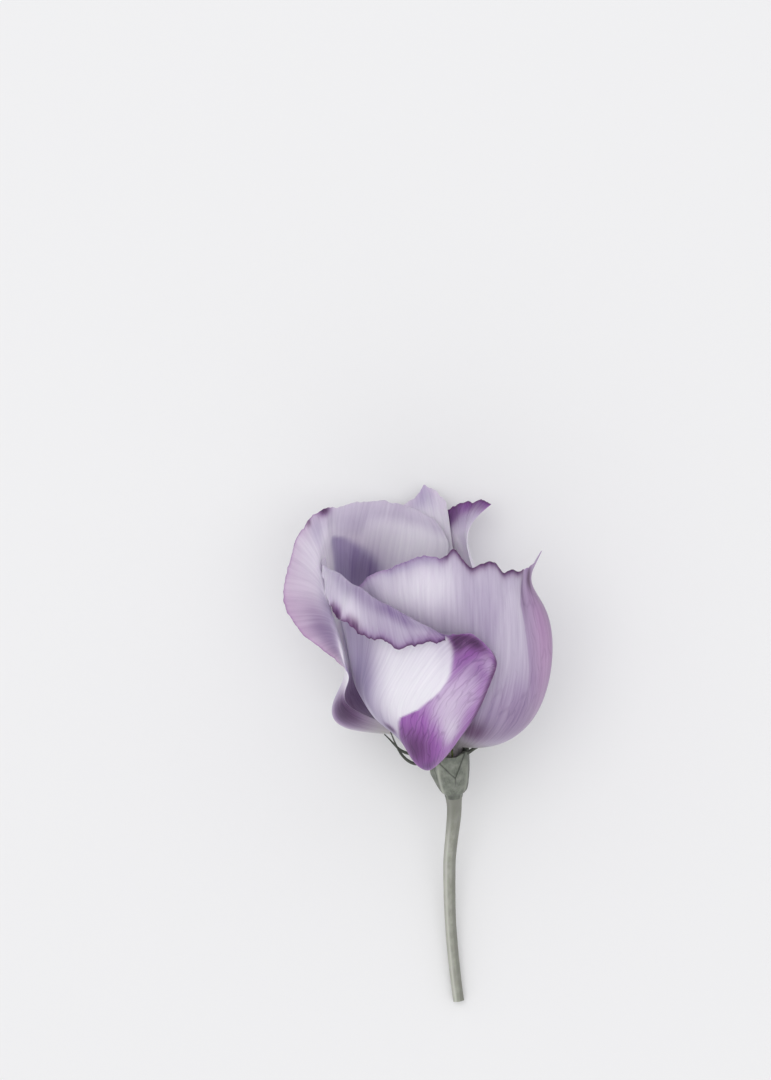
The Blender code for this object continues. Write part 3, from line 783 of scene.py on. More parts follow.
NEAR_LEFT = Petal(
    "petal_1", claw=(-62, 0), seed=11, size=(260, 160), tooth=0.9, bite=0.28, lean=(0.7, 0.45),
    waves=((0.3, 0.025, -0.3, -0.4), (0.36, 0.03, 0.5, 0.5), (0.42, 0.03, -0.5, -0.5),
           (0.5, 0.035, 0.2, 0.4), (0.55, 0.03, -0.2, -0.4), (0.61, 0.035, 0.9, 0.4),
           (0.69, 0.035, -0.2, -0.4), (0.77, 0.03, 0.1, 0.3)),
    rows=(
        ((3.4, 1.4, 20.4), (2.2, 0.6, 22.2), (0.8, -0.4, 25), (-0.2, -1.7, 28), (0.1, -3.2, 30.3),
         (1, -4.5, 31.5), (2.4, -5.2, 32), (4, -4.2, 31.5), (6, -2.3, 29.8), (8.4, 0.7, 27.3)),
        ((-0.4, 3.7, 21.4), (-2.2, 3.4, 24), (-3.9, 3, 27.4), (-4.2, 1.8, 31), (-3.2, 0.2, 34.5),
         (-1.5, -1.7, 36.8), (1.5, -2.4, 37.8), (4.4, -1.6, 37.2), (6.9, 0, 35), (9.4, 2, 31.2)),
        ((-6, 7.4, 22), (-8.6, 7.2, 24.5), (-9.6, 6.6, 28.5), (-9.2, 5.8, 33), (-7.2, 5.2, 37.3),
         (-3.4, 4.4, 40.8), (0.8, 4, 42.6), (4.7, 3.8, 42.3), (8.2, 4.2, 39.8), (11.2, 4.6, 35.6)),
        ((-12, 13, 23.5), (-13.7, 13, 26.5), (-13.4, 12.8, 29.7), (-12.4, 12.3, 34), (-11, 11.6, 38.8),
         (-6.5, 10.8, 43), (-1.5, 10.2, 45.6), (3.8, 9.8, 46.4), (9, 9.8, 44.8), (13.5, 9, 40.5)),
        ((-14.2, 23, 27), (-15.9, 23.2, 29.4), (-15, 23, 32.4), (-13, 22.5, 36), (-10.5, 22, 40.5),
         (-6, 21.3, 44.5), (-0.5, 20.2, 47), (5, 18.8, 48), (10.8, 17, 47.3), (15.7, 14.5, 44)),
        ((-19.3, 36, 25), (-20.3, 38, 27), (-19.8, 38.6, 30.5), (-17.4, 37.6, 36.5), (-13, 34.4, 41.5),
         (-7, 30.8, 45.3), (-0.5, 27.4, 48), (5.5, 24.8, 49), (11.8, 24, 46.8), (16.9, 18.6, 44)),
        ((-20.7, 41.6, 24.5), (-21.2, 40, 27.5), (-21, 36.7, 32.5), (-19.7, 31.6, 38.5), (-16, 26.9, 43.5),
         (-9, 23.5, 48.2), (-1.5, 22.6, 50.4), (5.2, 23.4, 49.7), (11.2, 24.6, 45), (16.2, 20.6, 42.6))),
    paint=(
        # painted shade on the left flank turned from the light, below the rolled shoulder, towards the top
        # and on the foot's lower edge; negative blots lift it
        Layer(GREY_AND_PAINTED_SHADE, OUTER, Wash(((0.0, 0.46), (0.5, 0.48), (0.62, 0.48), (0.75, 0.46),
                                 (1.0, 0.44)), -0.2, 0.66), Blot(0.05, 0.74, 0.13, 0.13, -0.75),
              coat(0.09, 0.66, 0.8), Blot(0.765, 0.86, 0.05, 0.1, 0.3), Blot(0.66, 0.335, 0.08, 0.03, 0.5),
              Blot(0.9, 0.775, 0.08, 0.05, 0.25), Blot(0.33, 0.55, 0.035, 0.05, -0.4)),
        # lavender: a faint tint over the face and on the pale strip by the purple spot, and painted shade on
        # the left flank
        Layer(LAVENDER, OUTER, Wash(((0.0, 0.42), (0.6, 0.42), (1.0, 0.4)), -0.16, 0.28),
              Blot(0.3, 0.665, 0.16, 0.085, 0.6), Blot(0.05, 0.74, 0.13, 0.13, -0.6), coat(0.07),
              Blot(0.42, 0.42, 0.05, 0.05, 0.5)),
        # plum: the purple spot and the deep foot, and painted shade on the left flank, on the foot's lower
        # edge, in the dark roll along the shoulder's top and in the thin line along the right margin
        Layer(PLUM, OUTER, Blot(0.22, 0.64, 0.14, 0.06, 0.32), Blot(0.428, 0.48, 0.031, 0.022, 0.7),
              Blot(0.86, 0.885, 0.085, 0.046, 1.0), Blot(0.812, 0.865, 0.03, 0.055, 1.0),
              Blot(0.585, 0.425, 0.11, 0.08, 0.8), Blot(0.71, 0.352, 0.09, 0.045, 0.3),
              Wash(((0.3, 0.981), (1.0, 0.981)), 0.03, 0.85)),
        Layer(VIOLET, OUTER, Blot(0.428, 0.48, 0.034, 0.024, 0.95),
              Wash(((0.35, 0.43), (0.41, 0.45), (0.45, 0.468), (0.484, 0.495), (0.528, 0.527),
                   (0.55, 0.553), (0.575, 0.619), (0.597, 0.672), (0.631, 0.719), (0.65, 0.747),
                   (0.672, 0.772), (0.703, 0.791), (0.734, 0.8), (0.83, 0.795), (0.88, 0.77), (0.93, 0.745),
                   (1.0, 0.725)), 0.026, 0.97), Blot(0.82, 0.6, 0.1, 0.14, -0.56),
              Blot(0.885, 0.745, 0.045, 0.06, -0.15), Blot(0.83, 0.49, 0.06, 0.07, -0.45),
              Blot(0.93, 0.7, 0.07, 0.09, -0.3), Blot(0.967, 0.7, 0.035, 0.055, 0.4),
              Blot(0.97, 0.83, 0.05, 0.05, -0.35)),
        # painted shade on the reflexed band, deepest towards the crest where it turns into the hollow, lifted
        # along its rim
        Layer(GREY_AND_PAINTED_SHADE, INNER, Wash(((0.0, 0.34), (1.0, 0.34)), 0.5, 0.85),
              Wash(((0.0, 0.5), (1.0, 0.5)), -0.8, 0.45), coat(-0.24, 0.925, 0.96),
              Blot(0.4, 0.982, 0.075, 0.028, -0.6), Blot(0.68, 0.925, 0.1, 0.05, -0.15),
              Blot(0.57, 0.925, 0.05, 0.018, 0.4)),
        Layer(LAVENDER, INNER, Wash(((0.0, 0.42), (1.0, 0.42)), -0.1, 0.14, (0.86, 0.9)),
              coat(0.12, 0.86, 0.9, 0.94, 0.965)),
        Layer(VIOLET, INNER, Hem(2.0, 0.22, (0.28, 0.36)), Hem(1.1, 0.6, (0.29, 0.34)),
              Hem(4.0, 0.55, (0.6, 0.75))),
        Layer(PLUM, INNER, Hem(0.6, 0.95, (0.3, 0.33))),
        Layer(PLUM, BOTH, Blot(0.364, 1.0, 0.024, 0.017, 1.0), Blot(0.335, 0.998, 0.01, 0.014, 0.8),
              Blot(0.447, 0.998, 0.03, 0.016, 0.9)),
        Layer(VIOLET, BOTH, Blot(0.364, 1.0, 0.028, 0.019, 0.9)),
        Layer(GREEN, BOTH, coat(0.9, -1.0, 0.0, 0.2, 0.32))))
NEAR_RIGHT = Petal(
    "petal_2", claw=(10, 72), seed=23, tooth=0.9, bite=0.16,
    waves=((0.08, 0.02, 0.3, 0.3), (0.14, 0.02, -0.2, -0.3), (0.235, 0.03, 0.6, 0.4),
           (0.29, 0.02, -0.2, -0.3), (0.345, 0.022, 1.7, 0.7), (0.41, 0.028, -1.4, -0.7),
           (0.482, 0.022, 0.8, 0.5), (0.532, 0.02, -0.8, -0.5), (0.57, 0.02, 0.4, 0.3),
           (0.86, 0.022, 1.5, 0.0), (0.862, 0.008, 0.7, 0.0)),
    rows=(
        ((5.5, 2.2, 22), (6.3, 1.8, 23.2), (7.6, 1.3, 24.2), (9.2, 0.7, 25), (10.8, 0.1, 25.4),
         (12.3, -0.5, 25.1), (13.7, -0.7, 24.1), (14.7, -0.6, 22.4), (15, -0.2, 20.5), (14.4, 0.6, 18.4)),
        ((-1, 11, 28.6), (1, 10, 32), (4.5, 9, 35.1), (9, 8.5, 36.6), (13.5, 7.5, 36.6), (18.5, 6, 34.3),
         (21.8, 5, 31), (24.2, 4.8, 27), (25.2, 6, 22), (23.2, 8, 16.5)),
        ((-6.5, 19, 32), (-3, 19, 36.5), (2.5, 18.5, 38.6), (9, 18, 39.6), (15.3, 17.5, 39.8),
         (21.2, 17, 37.8), (24.6, 16.5, 36), (27.9, 17, 30.8), (29.4, 18, 24), (26.8, 19, 16.5)),
        ((-11, 27, 33.5), (-6, 28, 38), (1, 29, 40.8), (8.5, 29, 41.8), (15.3, 29, 41.8), (21.2, 29, 39.6),
         (23.2, 29.3, 37.2), (26.5, 29.5, 33.5), (27.9, 30, 26.5), (25.3, 29.5, 18)),
        ((-12.8, 31.8, 33.8), (-7.5, 34.5, 38.1), (0.7, 36.8, 40.8), (8.2, 36.8, 41.6), (15.2, 36, 40.8),
         (20.6, 35.2, 38.6), (22.4, 35.3, 36), (24.3, 35.9, 32.8), (24.7, 36.3, 27.5), (23.9, 34.8, 20.5)),
        ((-14.2, 34.4, 34), (-8.5, 38.5, 37.8), (0.5, 41.2, 40.4), (8, 41.4, 41), (15, 40, 39.7),
         (20.8, 38.5, 37.4), (22.8, 38.7, 35), (24.6, 39.6, 32), (26.4, 41, 27), (24.8, 38.6, 21.5))),
    paint=(
        # the petal's greyer tone with painted shade, deeper under the near left petal's shoulder and towards
        # the foot, lifted on the left of the face and on the folded strip
        Layer(GREY_AND_PAINTED_SHADE, OUTER, coat(0.58), Blot(0.25, 0.87, 0.1, 0.09, -0.62), Blot(0.1, 0.87, 0.1, 0.1, -0.4),
              Blot(0.57, 0.76, 0.08, 0.16, -0.12), Blot(0.44, 0.75, 0.09, 0.14, 0.22),
              Blot(0.76, 0.68, 0.07, 0.15, -0.72), Blot(0.42, 0.42, 0.16, 0.08, 0.4)),
        Layer(LAVENDER, OUTER, Blot(0.04, 0.86, 0.06, 0.12, 0.22), Blot(0.2, 0.985, 0.12, 0.03, 0.35)),
        Layer(ROSE, OUTER, Blot(0.78, 0.68, 0.11, 0.28, 0.62)),
        # plum: painted shade in the crease at the top of the folded strip and low on the face by the foot,
        # and a deeper tone on the strip
        Layer(PLUM, OUTER, Blot(0.752, 0.93, 0.028, 0.075, 0.95), Blot(0.665, 0.9, 0.018, 0.13, 0.45),
              Blot(0.43, 0.365, 0.15, 0.06, 1.0), Blot(0.62, 0.43, 0.16, 0.1, 0.2),
              Blot(0.83, 0.83, 0.05, 0.09, 0.2)),
        Layer(VIOLET, OUTER, Wash(((0.5, 0.72), (0.528, 0.68), (0.584, 0.66), (0.625, 0.656), (0.66, 0.65),
                                  (0.734, 0.644), (0.812, 0.622), (0.875, 0.653),
                                  (0.99, 0.688)), 0.02, 0.42, (0.46, 0.6)),
              Blot(0.62, 0.48, 0.16, 0.12, 0.42)),
        Layer(GREEN, BOTH, coat(0.9, -1.0, 0.0, 0.25, 0.36)),
        Layer(PLUM, BOTH, Hem(1.15, 1.0, (0.28, 0.33, 0.66, 0.7))),
        Layer(VIOLET, BOTH, Hem(0.9, 0.8, (0.26, 0.33, 0.6, 0.66)),
              Hem(0.55, 0.6, (-1.0, 0.0, 0.28, 0.33))),
        Layer(GREY_AND_PAINTED_SHADE, INNER, coat(0.5))))
FAR_RIGHT = Petal(
    "petal_3", claw=(82, 144), seed=37, size=(180, 100), width=30.0,
    waves=((0.16, 0.05, 0.4, -0.3), (0.32, 0.05, -0.3, 0.4), (0.5, 0.06, 0.3, -0.3),
           (0.7, 0.06, -0.3, 0.3)),
    rows=(
        ((13, 4, 18.9), (14.4, 4.4, 16.8), (14.3, 5, 14.3), (13.2, 5.5, 12.6), (11.8, 5.9, 11.8)),
        ((20.2, 10, 20), (22, 10, 14), (20.8, 10.8, 8.5), (17, 12, 4), (12.4, 13.3, 2.4)),
        ((19.6, 21, 20), (21.2, 21, 13.5), (19.6, 22.5, 7), (15.7, 24, 1.9), (10.5, 25.5, 0.3)),
        ((13.4, 36, 16), (14, 36, 11.5), (13.3, 37, 6.4), (10.6, 37.5, 1.9), (6.4, 38, 0.15)),
        ((11.4, 47.6, 12.2), (10.9, 47.6, 9.4), (9.6, 47.6, 6.2), (6.6, 47.2, 3.4), (3, 46.5, 1.4)),
        ((16.5, 53.4, 9.5), (13.5, 54.2, 7.5), (9.7, 53.5, 5.5), (6.1, 52.2, 3.6), (2, 50.5, 2))),
    paint=(
        Layer(GREY_AND_PAINTED_SHADE, BOTH, coat(0.06), coat(0.3, 0.87, 0.93)),
        Layer(LAVENDER, BOTH, coat(0.2)),
        Layer(LAVENDER, INNER, Blot(0.7, 0.86, 0.13, 0.07, -0.9)),
        Layer(VIOLET, INNER, Wash(((0.0, 0.0), (0.88, 0.9), (0.94, 0.5), (1.0, 0.18)), 0.25, 0.6)),
        Layer(VIOLET, BOTH, Hem(3.6, 1.0)),
        Layer(PLUM, BOTH, Hem(0.5, 0.8)),
        Layer(PLUM, INNER, Blot(0.6, 0.965, 0.14, 0.05, 0.55), Blot(0.2, 0.985, 0.18, 0.03, 0.4)),
        Layer(GREEN, BOTH, coat(0.7, -1.0, 0.0, 0.22, 0.36))))
FAR = Petal(
    "petal_4", claw=(154, 216), seed=41, size=(200, 100), width=32.0,
    waves=((0.12, 0.05, 0.2, 0.3), (0.26, 0.035, 0.7, 0.2), (0.4, 0.06, -0.6, -0.3), (0.56, 0.05, 0.2, 0.4),
           (0.75, 0.06, -0.2, -0.3)),
    rows=(
        ((9.9, 5.2, 13.4), (8.6, 5.7, 12.3), (7, 6, 11.6), (5.3, 5.9, 11), (4, 5.7, 10.9)),
        ((14, 14, 7.4), (8.5, 15, 4.8), (2.5, 14.5, 4), (-3.5, 13.2, 4), (-7.6, 12, 4.4)),
        ((12.8, 26, 5.6), (6.5, 27, 2.9), (-0.5, 27, 1.9), (-7.5, 25.5, 1.4), (-13.5, 23, 1.8)),
        ((8.8, 39, 4.4), (4.4, 40, 3.2), (-2, 40, 2), (-8.5, 38, 0.9), (-14.5, 34.5, 0.15)),
        ((7.3, 48.4, 5), (3.2, 50.2, 4.2), (-2.5, 49.7, 2.6), (-8, 47, 1.4), (-13, 44, 0.9)),
        ((6.4, 54, 5), (1.8, 57.2, 4.2), (-2.4, 53.8, 3.2), (-7.5, 52, 2), (-12, 49, 1.4))),
    paint=(
        Layer(GREY_AND_PAINTED_SHADE, BOTH, coat(0.24)),
        Layer(VIOLET, BOTH, Hem(2.2, 0.18)),
        Layer(LAVENDER, BOTH, Blot(0.3, 0.975, 0.14, 0.05, 0.45)),
        Layer(GREEN, BOTH, coat(0.7, -1.0, 0.0, 0.22, 0.36))))
LEFT = Petal(
    "petal_5", claw=(226, 288), seed=53, tooth=1.0, bite=0.2,
    waves=((0.12, 0.03, -0.2, 0.3), (0.22, 0.03, 0.3, -0.3), (0.37, 0.02, -0.5, 0.5),
           (0.43, 0.02, -0.7, -0.6), (0.5, 0.025, 0.4, 0.5), (0.57, 0.025, -0.2, -0.5),
           (0.64, 0.025, 0.3, 0.5), (0.71, 0.025, -0.3, -0.5), (0.78, 0.03, 0.3, 0.4)),
    rows=(
        ((4.9, 4.2, 14.3), (3.9, 3.8, 13.8), (2.8, 3.3, 13.6), (1.8, 2.7, 14.2), (1, 2.1, 15.4),
         (0.6, 1.6, 16.8), (0.3, 1.4, 18.2), (0.2, 1.4, 19.2), (0.3, 1.7, 20)),
        ((1.5, 11.4, 9.4), (-4, 11.2, 8.5), (-8, 9.6, 8.8), (-11.2, 7.6, 10), (-14, 5.2, 13),
         (-15.6, 3.7, 16.5), (-15.9, 3.5, 20), (-14.8, 4.8, 24), (-12.6, 6.8, 26.4)),
        ((1, 19, 7), (-6.5, 19, 5.9), (-11.5, 17.5, 6.5), (-14.6, 14.5, 9.5), (-17, 11.2, 13.5),
         (-18.7, 9, 18), (-18.9, 8.4, 22.2), (-17.8, 9.3, 26), (-16.4, 10.2, 28.6)),
        ((2, 27, 6), (-7.5, 27.5, 4.8), (-14, 26.5, 5.8), (-16.8, 22.5, 10.5), (-16.4, 18.6, 16.5),
         (-15.9, 16.6, 22), (-15.9, 15.6, 26.2), (-15.8, 14.6, 29), (-15.6, 14, 30.6)),
        ((4.5, 36, 5.2), (-6.5, 38, 5.8), (-14.6, 38.3, 8.3), (-18.7, 36, 14.3), (-19.9, 31.2, 25.8),
         (-18, 25.3, 29), (-16.8, 21.4, 31.4), (-16.3, 18, 32), (-15.7, 16, 31.6)),
        ((7, 43.5, 6.3), (-5, 47, 8.6), (-13.7, 46.6, 12.8), (-19.6, 45.7, 17.6), (-22.1, 40.2, 24.9),
         (-21.3, 31.9, 29), (-19.2, 25.5, 31.6), (-17.2, 20.2, 32.1), (-16, 16.5, 31.6)),
        ((3.5, 50.2, 6), (-4, 53.4, 7), (-12, 53.9, 9.6), (-20, 52.6, 13.6), (-26.2, 47.2, 18),
         (-29.9, 34, 21), (-26, 24.8, 25.5), (-19, 19.4, 29.4), (-16.2, 16.8, 30.6))),
    paint=(
        # the inner face's greyer tone, with painted shade along the hollow's arched top and on the lip's
        # lower part beside the near left petal; negative blots lift it in the hollow and the slot
        Layer(GREY_AND_PAINTED_SHADE, INNER, Wash(((0.0, 0.4), (1.0, 0.46)), -0.12, 0.26),
              Wash(((0.0, 0.4), (1.0, 0.46)), -0.12, 0.34, (0.9, 0.955)),
              Wash(((0.0, 0.4), (1.0, 0.44)), 0.16, 0.32, (0.82, 0.88)), Blot(0.09, 0.86, 0.08, 0.05, -0.6),
              Blot(0.31, 0.84, 0.09, 0.06, -0.6), Blot(0.455, 0.665, 0.05, 0.07, -0.8),
              Blot(0.31, 0.91, 0.07, 0.035, 0.4), Blot(0.82, 0.915, 0.11, 0.045, 0.62)),
        # lavender: painted shade deep in the bloom and in the hollow, whose arched top these washes draw, and
        # on the lip's edge beside the near left petal, with a tint on the right of the inner face
        Layer(LAVENDER, INNER, Wash(((0.0, 0.5), (1.0, 0.5)), -0.12, 0.4, (-1.0, 0.0, 0.62, 0.76)),
              Blot(0.05, 0.86, 0.12, 0.09, 0.34),
              Wash(((0.0, 0.4), (0.84, 0.405), (0.87, 0.415), (0.885, 0.41), (0.895, 0.39),
                   (1.0, 0.37)), -0.05, 0.62, (0.55, 0.72, 0.88, 0.905)),
              Wash(((0.0, 0.15), (0.77, 0.165), (0.797, 0.19), (0.82, 0.22), (0.847, 0.265), (0.872, 0.315),
                   (0.886, 0.36), (0.895, 0.43), (1.0, 0.5)), -0.07, -1.0, (0.55, 0.72)),
              Blot(0.26, 0.785, 0.09, 0.055, 0.35),
              Wash(((0.0, 0.93), (1.0, 0.93)), 0.1, 0.6, (0.5, 0.6, 0.88, 0.94)),
              Blot(0.74, 0.868, 0.13, 0.03, 0.4), Blot(0.455, 0.665, 0.05, 0.07, -0.7),
              Blot(0.49, 0.95, 0.035, 0.05, 0.3), Blot(0.84, 0.925, 0.1, 0.05, 0.3)),
        # violet: painted shade in the hollow and on the floor of the belly beside the near left petal
        Layer(VIOLET, INNER, Blot(0.31, 0.83, 0.08, 0.06, 0.15), Blot(0.48, 0.46, 0.16, 0.1, 0.55)),
        # plum: the second blot is painted shade in the hollow
        Layer(PLUM, INNER, Blot(0.93, 0.965, 0.06, 0.04, 0.25), Blot(0.235, 0.765, 0.07, 0.05, 0.3)),
        Layer(ROSE, INNER, Blot(0.8, 0.97, 0.18, 0.1, 0.42), Hem(3.5, 0.3, (0.4, 0.5))),
        Layer(PLUM, BOTH, Blot(0.43, 0.998, 0.024, 0.022, 0.95), Blot(0.51, 0.993, 0.012, 0.014, 0.7)),
        Layer(VIOLET, BOTH, Blot(0.43, 0.995, 0.03, 0.026, 0.8), Hem(0.4, 0.6, (0.4, 0.45, 0.9, 1.0))),
        # the outer face of the belly: painted shade, tinted purple, darkest in the band tucked in beside the
        # near left petal
        Layer(LAVENDER, OUTER, Blot(0.72, 0.565, 0.16, 0.05, 0.45)),
        Layer(GREY_AND_PAINTED_SHADE, OUTER, Blot(0.95, 0.46, 0.1, 0.1, 0.7), Blot(0.86, 0.48, 0.16, 0.14, 0.45)),
        Layer(PLUM, OUTER, Blot(0.955, 0.455, 0.1, 0.1, 0.9)),
        Layer(VIOLET, OUTER, Blot(0.9, 0.47, 0.16, 0.12, 0.6)),
        # plum: painted shade on the floor of the belly
        Layer(PLUM, INNER, Blot(0.48, 0.43, 0.14, 0.09, 0.5)),
        Layer(GREEN, BOTH, coat(0.7, -1.0, 0.0, 0.3, 0.42))))


# The stem and the calyx


@dataclass(frozen=True)
class GreenFinish:
    """Waxy green skin: a thin bloom of wax greys it, and its fibres run lengthways."""

    name: str
    skin: str
    dark: str
    light: str
    roughness: float = 0.5
    fibre: float = 0.28           # mm across one fibre streak
    fibre_length: float = 9.0
    cloud: float = 2.2            # mm across one pale cloud of wax
    relief: float = 0.05          # height of the fibres, mm

    def build(self) -> bpy.types.Material:
        """Builds the material, darker where the mesh marks dark lines and painted shade, and lighter where it
        marks painted light on the keels.

        Returns:
            The material.
        """
        material, tree, shader = new_material(self.name)
        place = add_node(tree, "ShaderNodeTexCoord").outputs["Object"]
        thin, long = 1.0 / (self.fibre * MM), 1.0 / (self.fibre_length * MM)
        laid = add_node(tree, "ShaderNodeMapping", {}, {0: place, 3: (thin, long, thin)})
        fibre = add_node(tree, "ShaderNodeTexNoise", {},
                         {"Vector": laid.outputs[0], "Scale": 1.0, "Detail": 2.0})
        cloud = add_node(tree, "ShaderNodeTexNoise", {},
                         {"Vector": place, "Scale": 1.0 / (self.cloud * MM), "Detail": 3.0})
        fibres = add_node(tree, "ShaderNodeMapRange", {},
                          {0: fibre.outputs[0], 1: 0.3, 2: 0.7, 3: 0.0, 4: 0.45})
        clouds = add_node(tree, "ShaderNodeMapRange", {},
                          {0: cloud.outputs[0], 1: 0.4, 2: 0.7, 3: 0.0, 4: 0.4})
        # keel marks painted light on keels and on the lit side of the stalk; the other mark holds dark lines
        # and painted shade
        keel, dark_lines_and_painted_shade = (add_node(tree, "ShaderNodeAttribute", {"attribute_name": mark}).outputs["Fac"]
                      for mark in ("keel", "dark_lines_and_painted_shade"))
        colour = linear(self.skin)
        for share, tint in ((fibres.outputs[0], self.dark), (clouds.outputs[0], self.light),
                            (keel, self.light), (dark_lines_and_painted_shade, self.dark)):
            colour = add_node(tree, "ShaderNodeMix", {"data_type": "RGBA"},
                              {0: share, 6: colour, 7: linear(tint)}).outputs[2]
        bump = add_node(tree, "ShaderNodeBump", {},
                        {"Strength": 0.4, "Distance": self.relief * MM, "Height": fibre.outputs[0]})
        plug(shader, {"Base Color": colour, "Normal": bump.outputs[0], "Roughness": self.roughness,
                      "Subsurface Weight": 0.15, "Subsurface Radius": (0.6, 1.0, 0.4),
                      "Subsurface Scale": 0.6 * MM})
        return material


@dataclass
class Stem:
    """The stalk, a ribbed rod that a node tree runs along its route."""

    route: tuple[tuple[float, float, float, float], ...] = (
        (9.33, -59.5, 1.26, 1.25), (8.75, -55.3, 1.6, 1.25), (7.87, -47.0, 2.4, 1.27),
        (7.3, -38.7, 4.0, 1.31), (7.13, -30.0, 6.3, 1.4), (7.21, -26.2, 7.5, 1.42), (7.7, -21.0, 9.3, 1.5),
        (8.1, -16.8, 10.95, 1.62), (8.14, -14.2, 11.95, 1.7), (8.05, -12.8, 12.6, 1.86),
        (8.02, -11.95, 12.95, 2.0))
    route_points: int = 60
    sides: int = 64
    steps: int = 220
    ribs: int = 4
    rib_height: float = 0.05      # share of the radius
    slices: int = 110             # for finding the middle line again in the finished mesh

    def rod_tree(self) -> bpy.types.NodeTree:
        """Builds the node tree that skins a route, with its sizes as named inputs.

        Returns:
            The tree.
        """
        tree, given = new_tree("rod_along_route", {
            "Route": "Geometry", "Sides": "Int", "Steps": "Int", "Ribs": "Int", "Rib height": "Float",
            "Finish": "Material"})
        route = add_node(tree, "GeometryNodeResampleCurve", {},
                         {"Curve": given["Route"], "Count": given["Steps"]})
        ring = add_node(tree, "GeometryNodeCurvePrimitiveCircle", {},
                        {"Resolution": given["Sides"], "Radius": 1.0})
        here = add_node(tree, "GeometryNodeInputPosition").outputs[0]
        x, y, _ = add_node(tree, "ShaderNodeSeparateXYZ", {}, {0: here}).outputs
        swell = add_node(tree, "ShaderNodeMath", {"operation": "ARCTAN2"}, {0: y, 1: x})
        for operation, factor in (("MULTIPLY", {1: given["Ribs"]}), ("COSINE", {}),
                                  ("MULTIPLY", {1: given["Rib height"]})):
            swell = add_node(tree, "ShaderNodeMath", {"operation": operation}, {0: swell.outputs[0]} | factor)
        out = add_node(tree, "ShaderNodeVectorMath", {"operation": "SCALE"},
                       {0: here, "Scale": swell.outputs[0]})
        ring = add_node(tree, "GeometryNodeSetPosition", {},
                        {"Geometry": ring.outputs[0], "Offset": out.outputs[0]})
        radius = add_node(tree, "GeometryNodeInputRadius")
        skin = add_node(tree, "GeometryNodeCurveToMesh", {}, {
            "Curve": route.outputs[0], "Profile Curve": ring.outputs[0], "Scale": radius.outputs[0],
            "Fill Caps": True})
        add_node(tree, "NodeGroupOutput", {}, {0: dressed(tree, skin.outputs[0], given["Finish"])})
        return tree

    def build(self, material: bpy.types.Material) -> None:
        """Makes the stalk with its cut end.

        Args:
            material: the stem finish.
        """
        run = smooth_path(self.route, self.route_points)
        curve = bpy.data.curves.new("stem_route", "CURVE")
        curve.dimensions = "3D"
        line = curve.splines.new("POLY")
        line.points.add(len(run) - 1)
        for point, (x, y, z, radius) in zip(line.points, run):
            point.co = (*((np.array([x, y, z]) + SHIFT) * MM), 1.0)
            point.radius = radius * MM / (1.0 + self.rib_height)
        rod = bpy.data.objects.new("stem_route", curve)
        bpy.context.scene.collection.objects.link(rod)
        made = grown(rod, self.rod_tree(), "stem_stalk",
                     {"Sides": self.sides, "Steps": self.steps, "Ribs": self.ribs,
                      "Rib height": self.rib_height, "Finish": material})
        points = np.empty(len(made.data.vertices) * 3)
        made.data.vertices.foreach_get("co", points)
        points = points.reshape(-1, 3)
        points[:, 2] = np.maximum(points[:, 2], 0.0)
        made.data.vertices.foreach_set("co", points.ravel())
        self.mark(made, points)
        settle(made, ["stem"])

    def mark(self, made: bpy.types.Object, points: np.ndarray) -> None:
        """Marks painted light on the stalk, lighter along one rib and its lit side, and painted shade, darker
        on its far flank and under the calyx.

        Args:
            made: the stalk.
            points: its points, in metres.
        """
        middle = np.empty((len(points), 3))
        for part in np.array_split(np.argsort(points[:, 1]), self.slices):
            middle[part] = points[part].min(axis=0) / 2.0 + points[part].max(axis=0) / 2.0
        off = points - middle
        turn = np.degrees(np.arctan2(off[:, 0], off[:, 2]))
        # painted light: a highlight along one rib and the side towards the light
        painted_light = 0.85 * np.exp(-(((turn + 34.0) / 16.0) ** 2)) + 0.35 * smoothstep(-30.0, -60.0, turn)
        store(made, "keel", painted_light)
        # painted shade under the calyx and on the far flank
        under_calyx = smoothstep(-24.0, -13.5, points[:, 1] / MM)
        store(made, "dark_lines_and_painted_shade", np.maximum(0.75 * smoothstep(5.0, 40.0, turn), 0.8 * under_calyx))


@dataclass(frozen=True)
class Sepal:
    """One lobe of the calyx, with its raised keel and its awn. Angles run round the calyx, 0 facing up."""

    keel_at: float
    half: float                   # half the angle of the lobe where it leaves its neighbours
    keel: float                   # height of the keel, mm
    keel_half: float              # half the angle of the keel
    tip: float                    # distance from the base where the lobe has run to a point
    awn: tuple[tuple[float, float, float], ...]
    tip_half: float = 8.0         # half the angle of the lobe at its point

    def away(self, turn: float) -> float:
        """The angle from the keel, in degrees, from -180 to 180."""
        return (turn - self.keel_at + 180.0) % 360.0 - 180.0

    def width(self, reach: float, part_at: float) -> float:
        """Half the angle of the lobe at a distance from the base, if it parts from the others at part_at."""
        return self.half - (self.half - self.tip_half) * ramp(part_at, self.tip, reach)


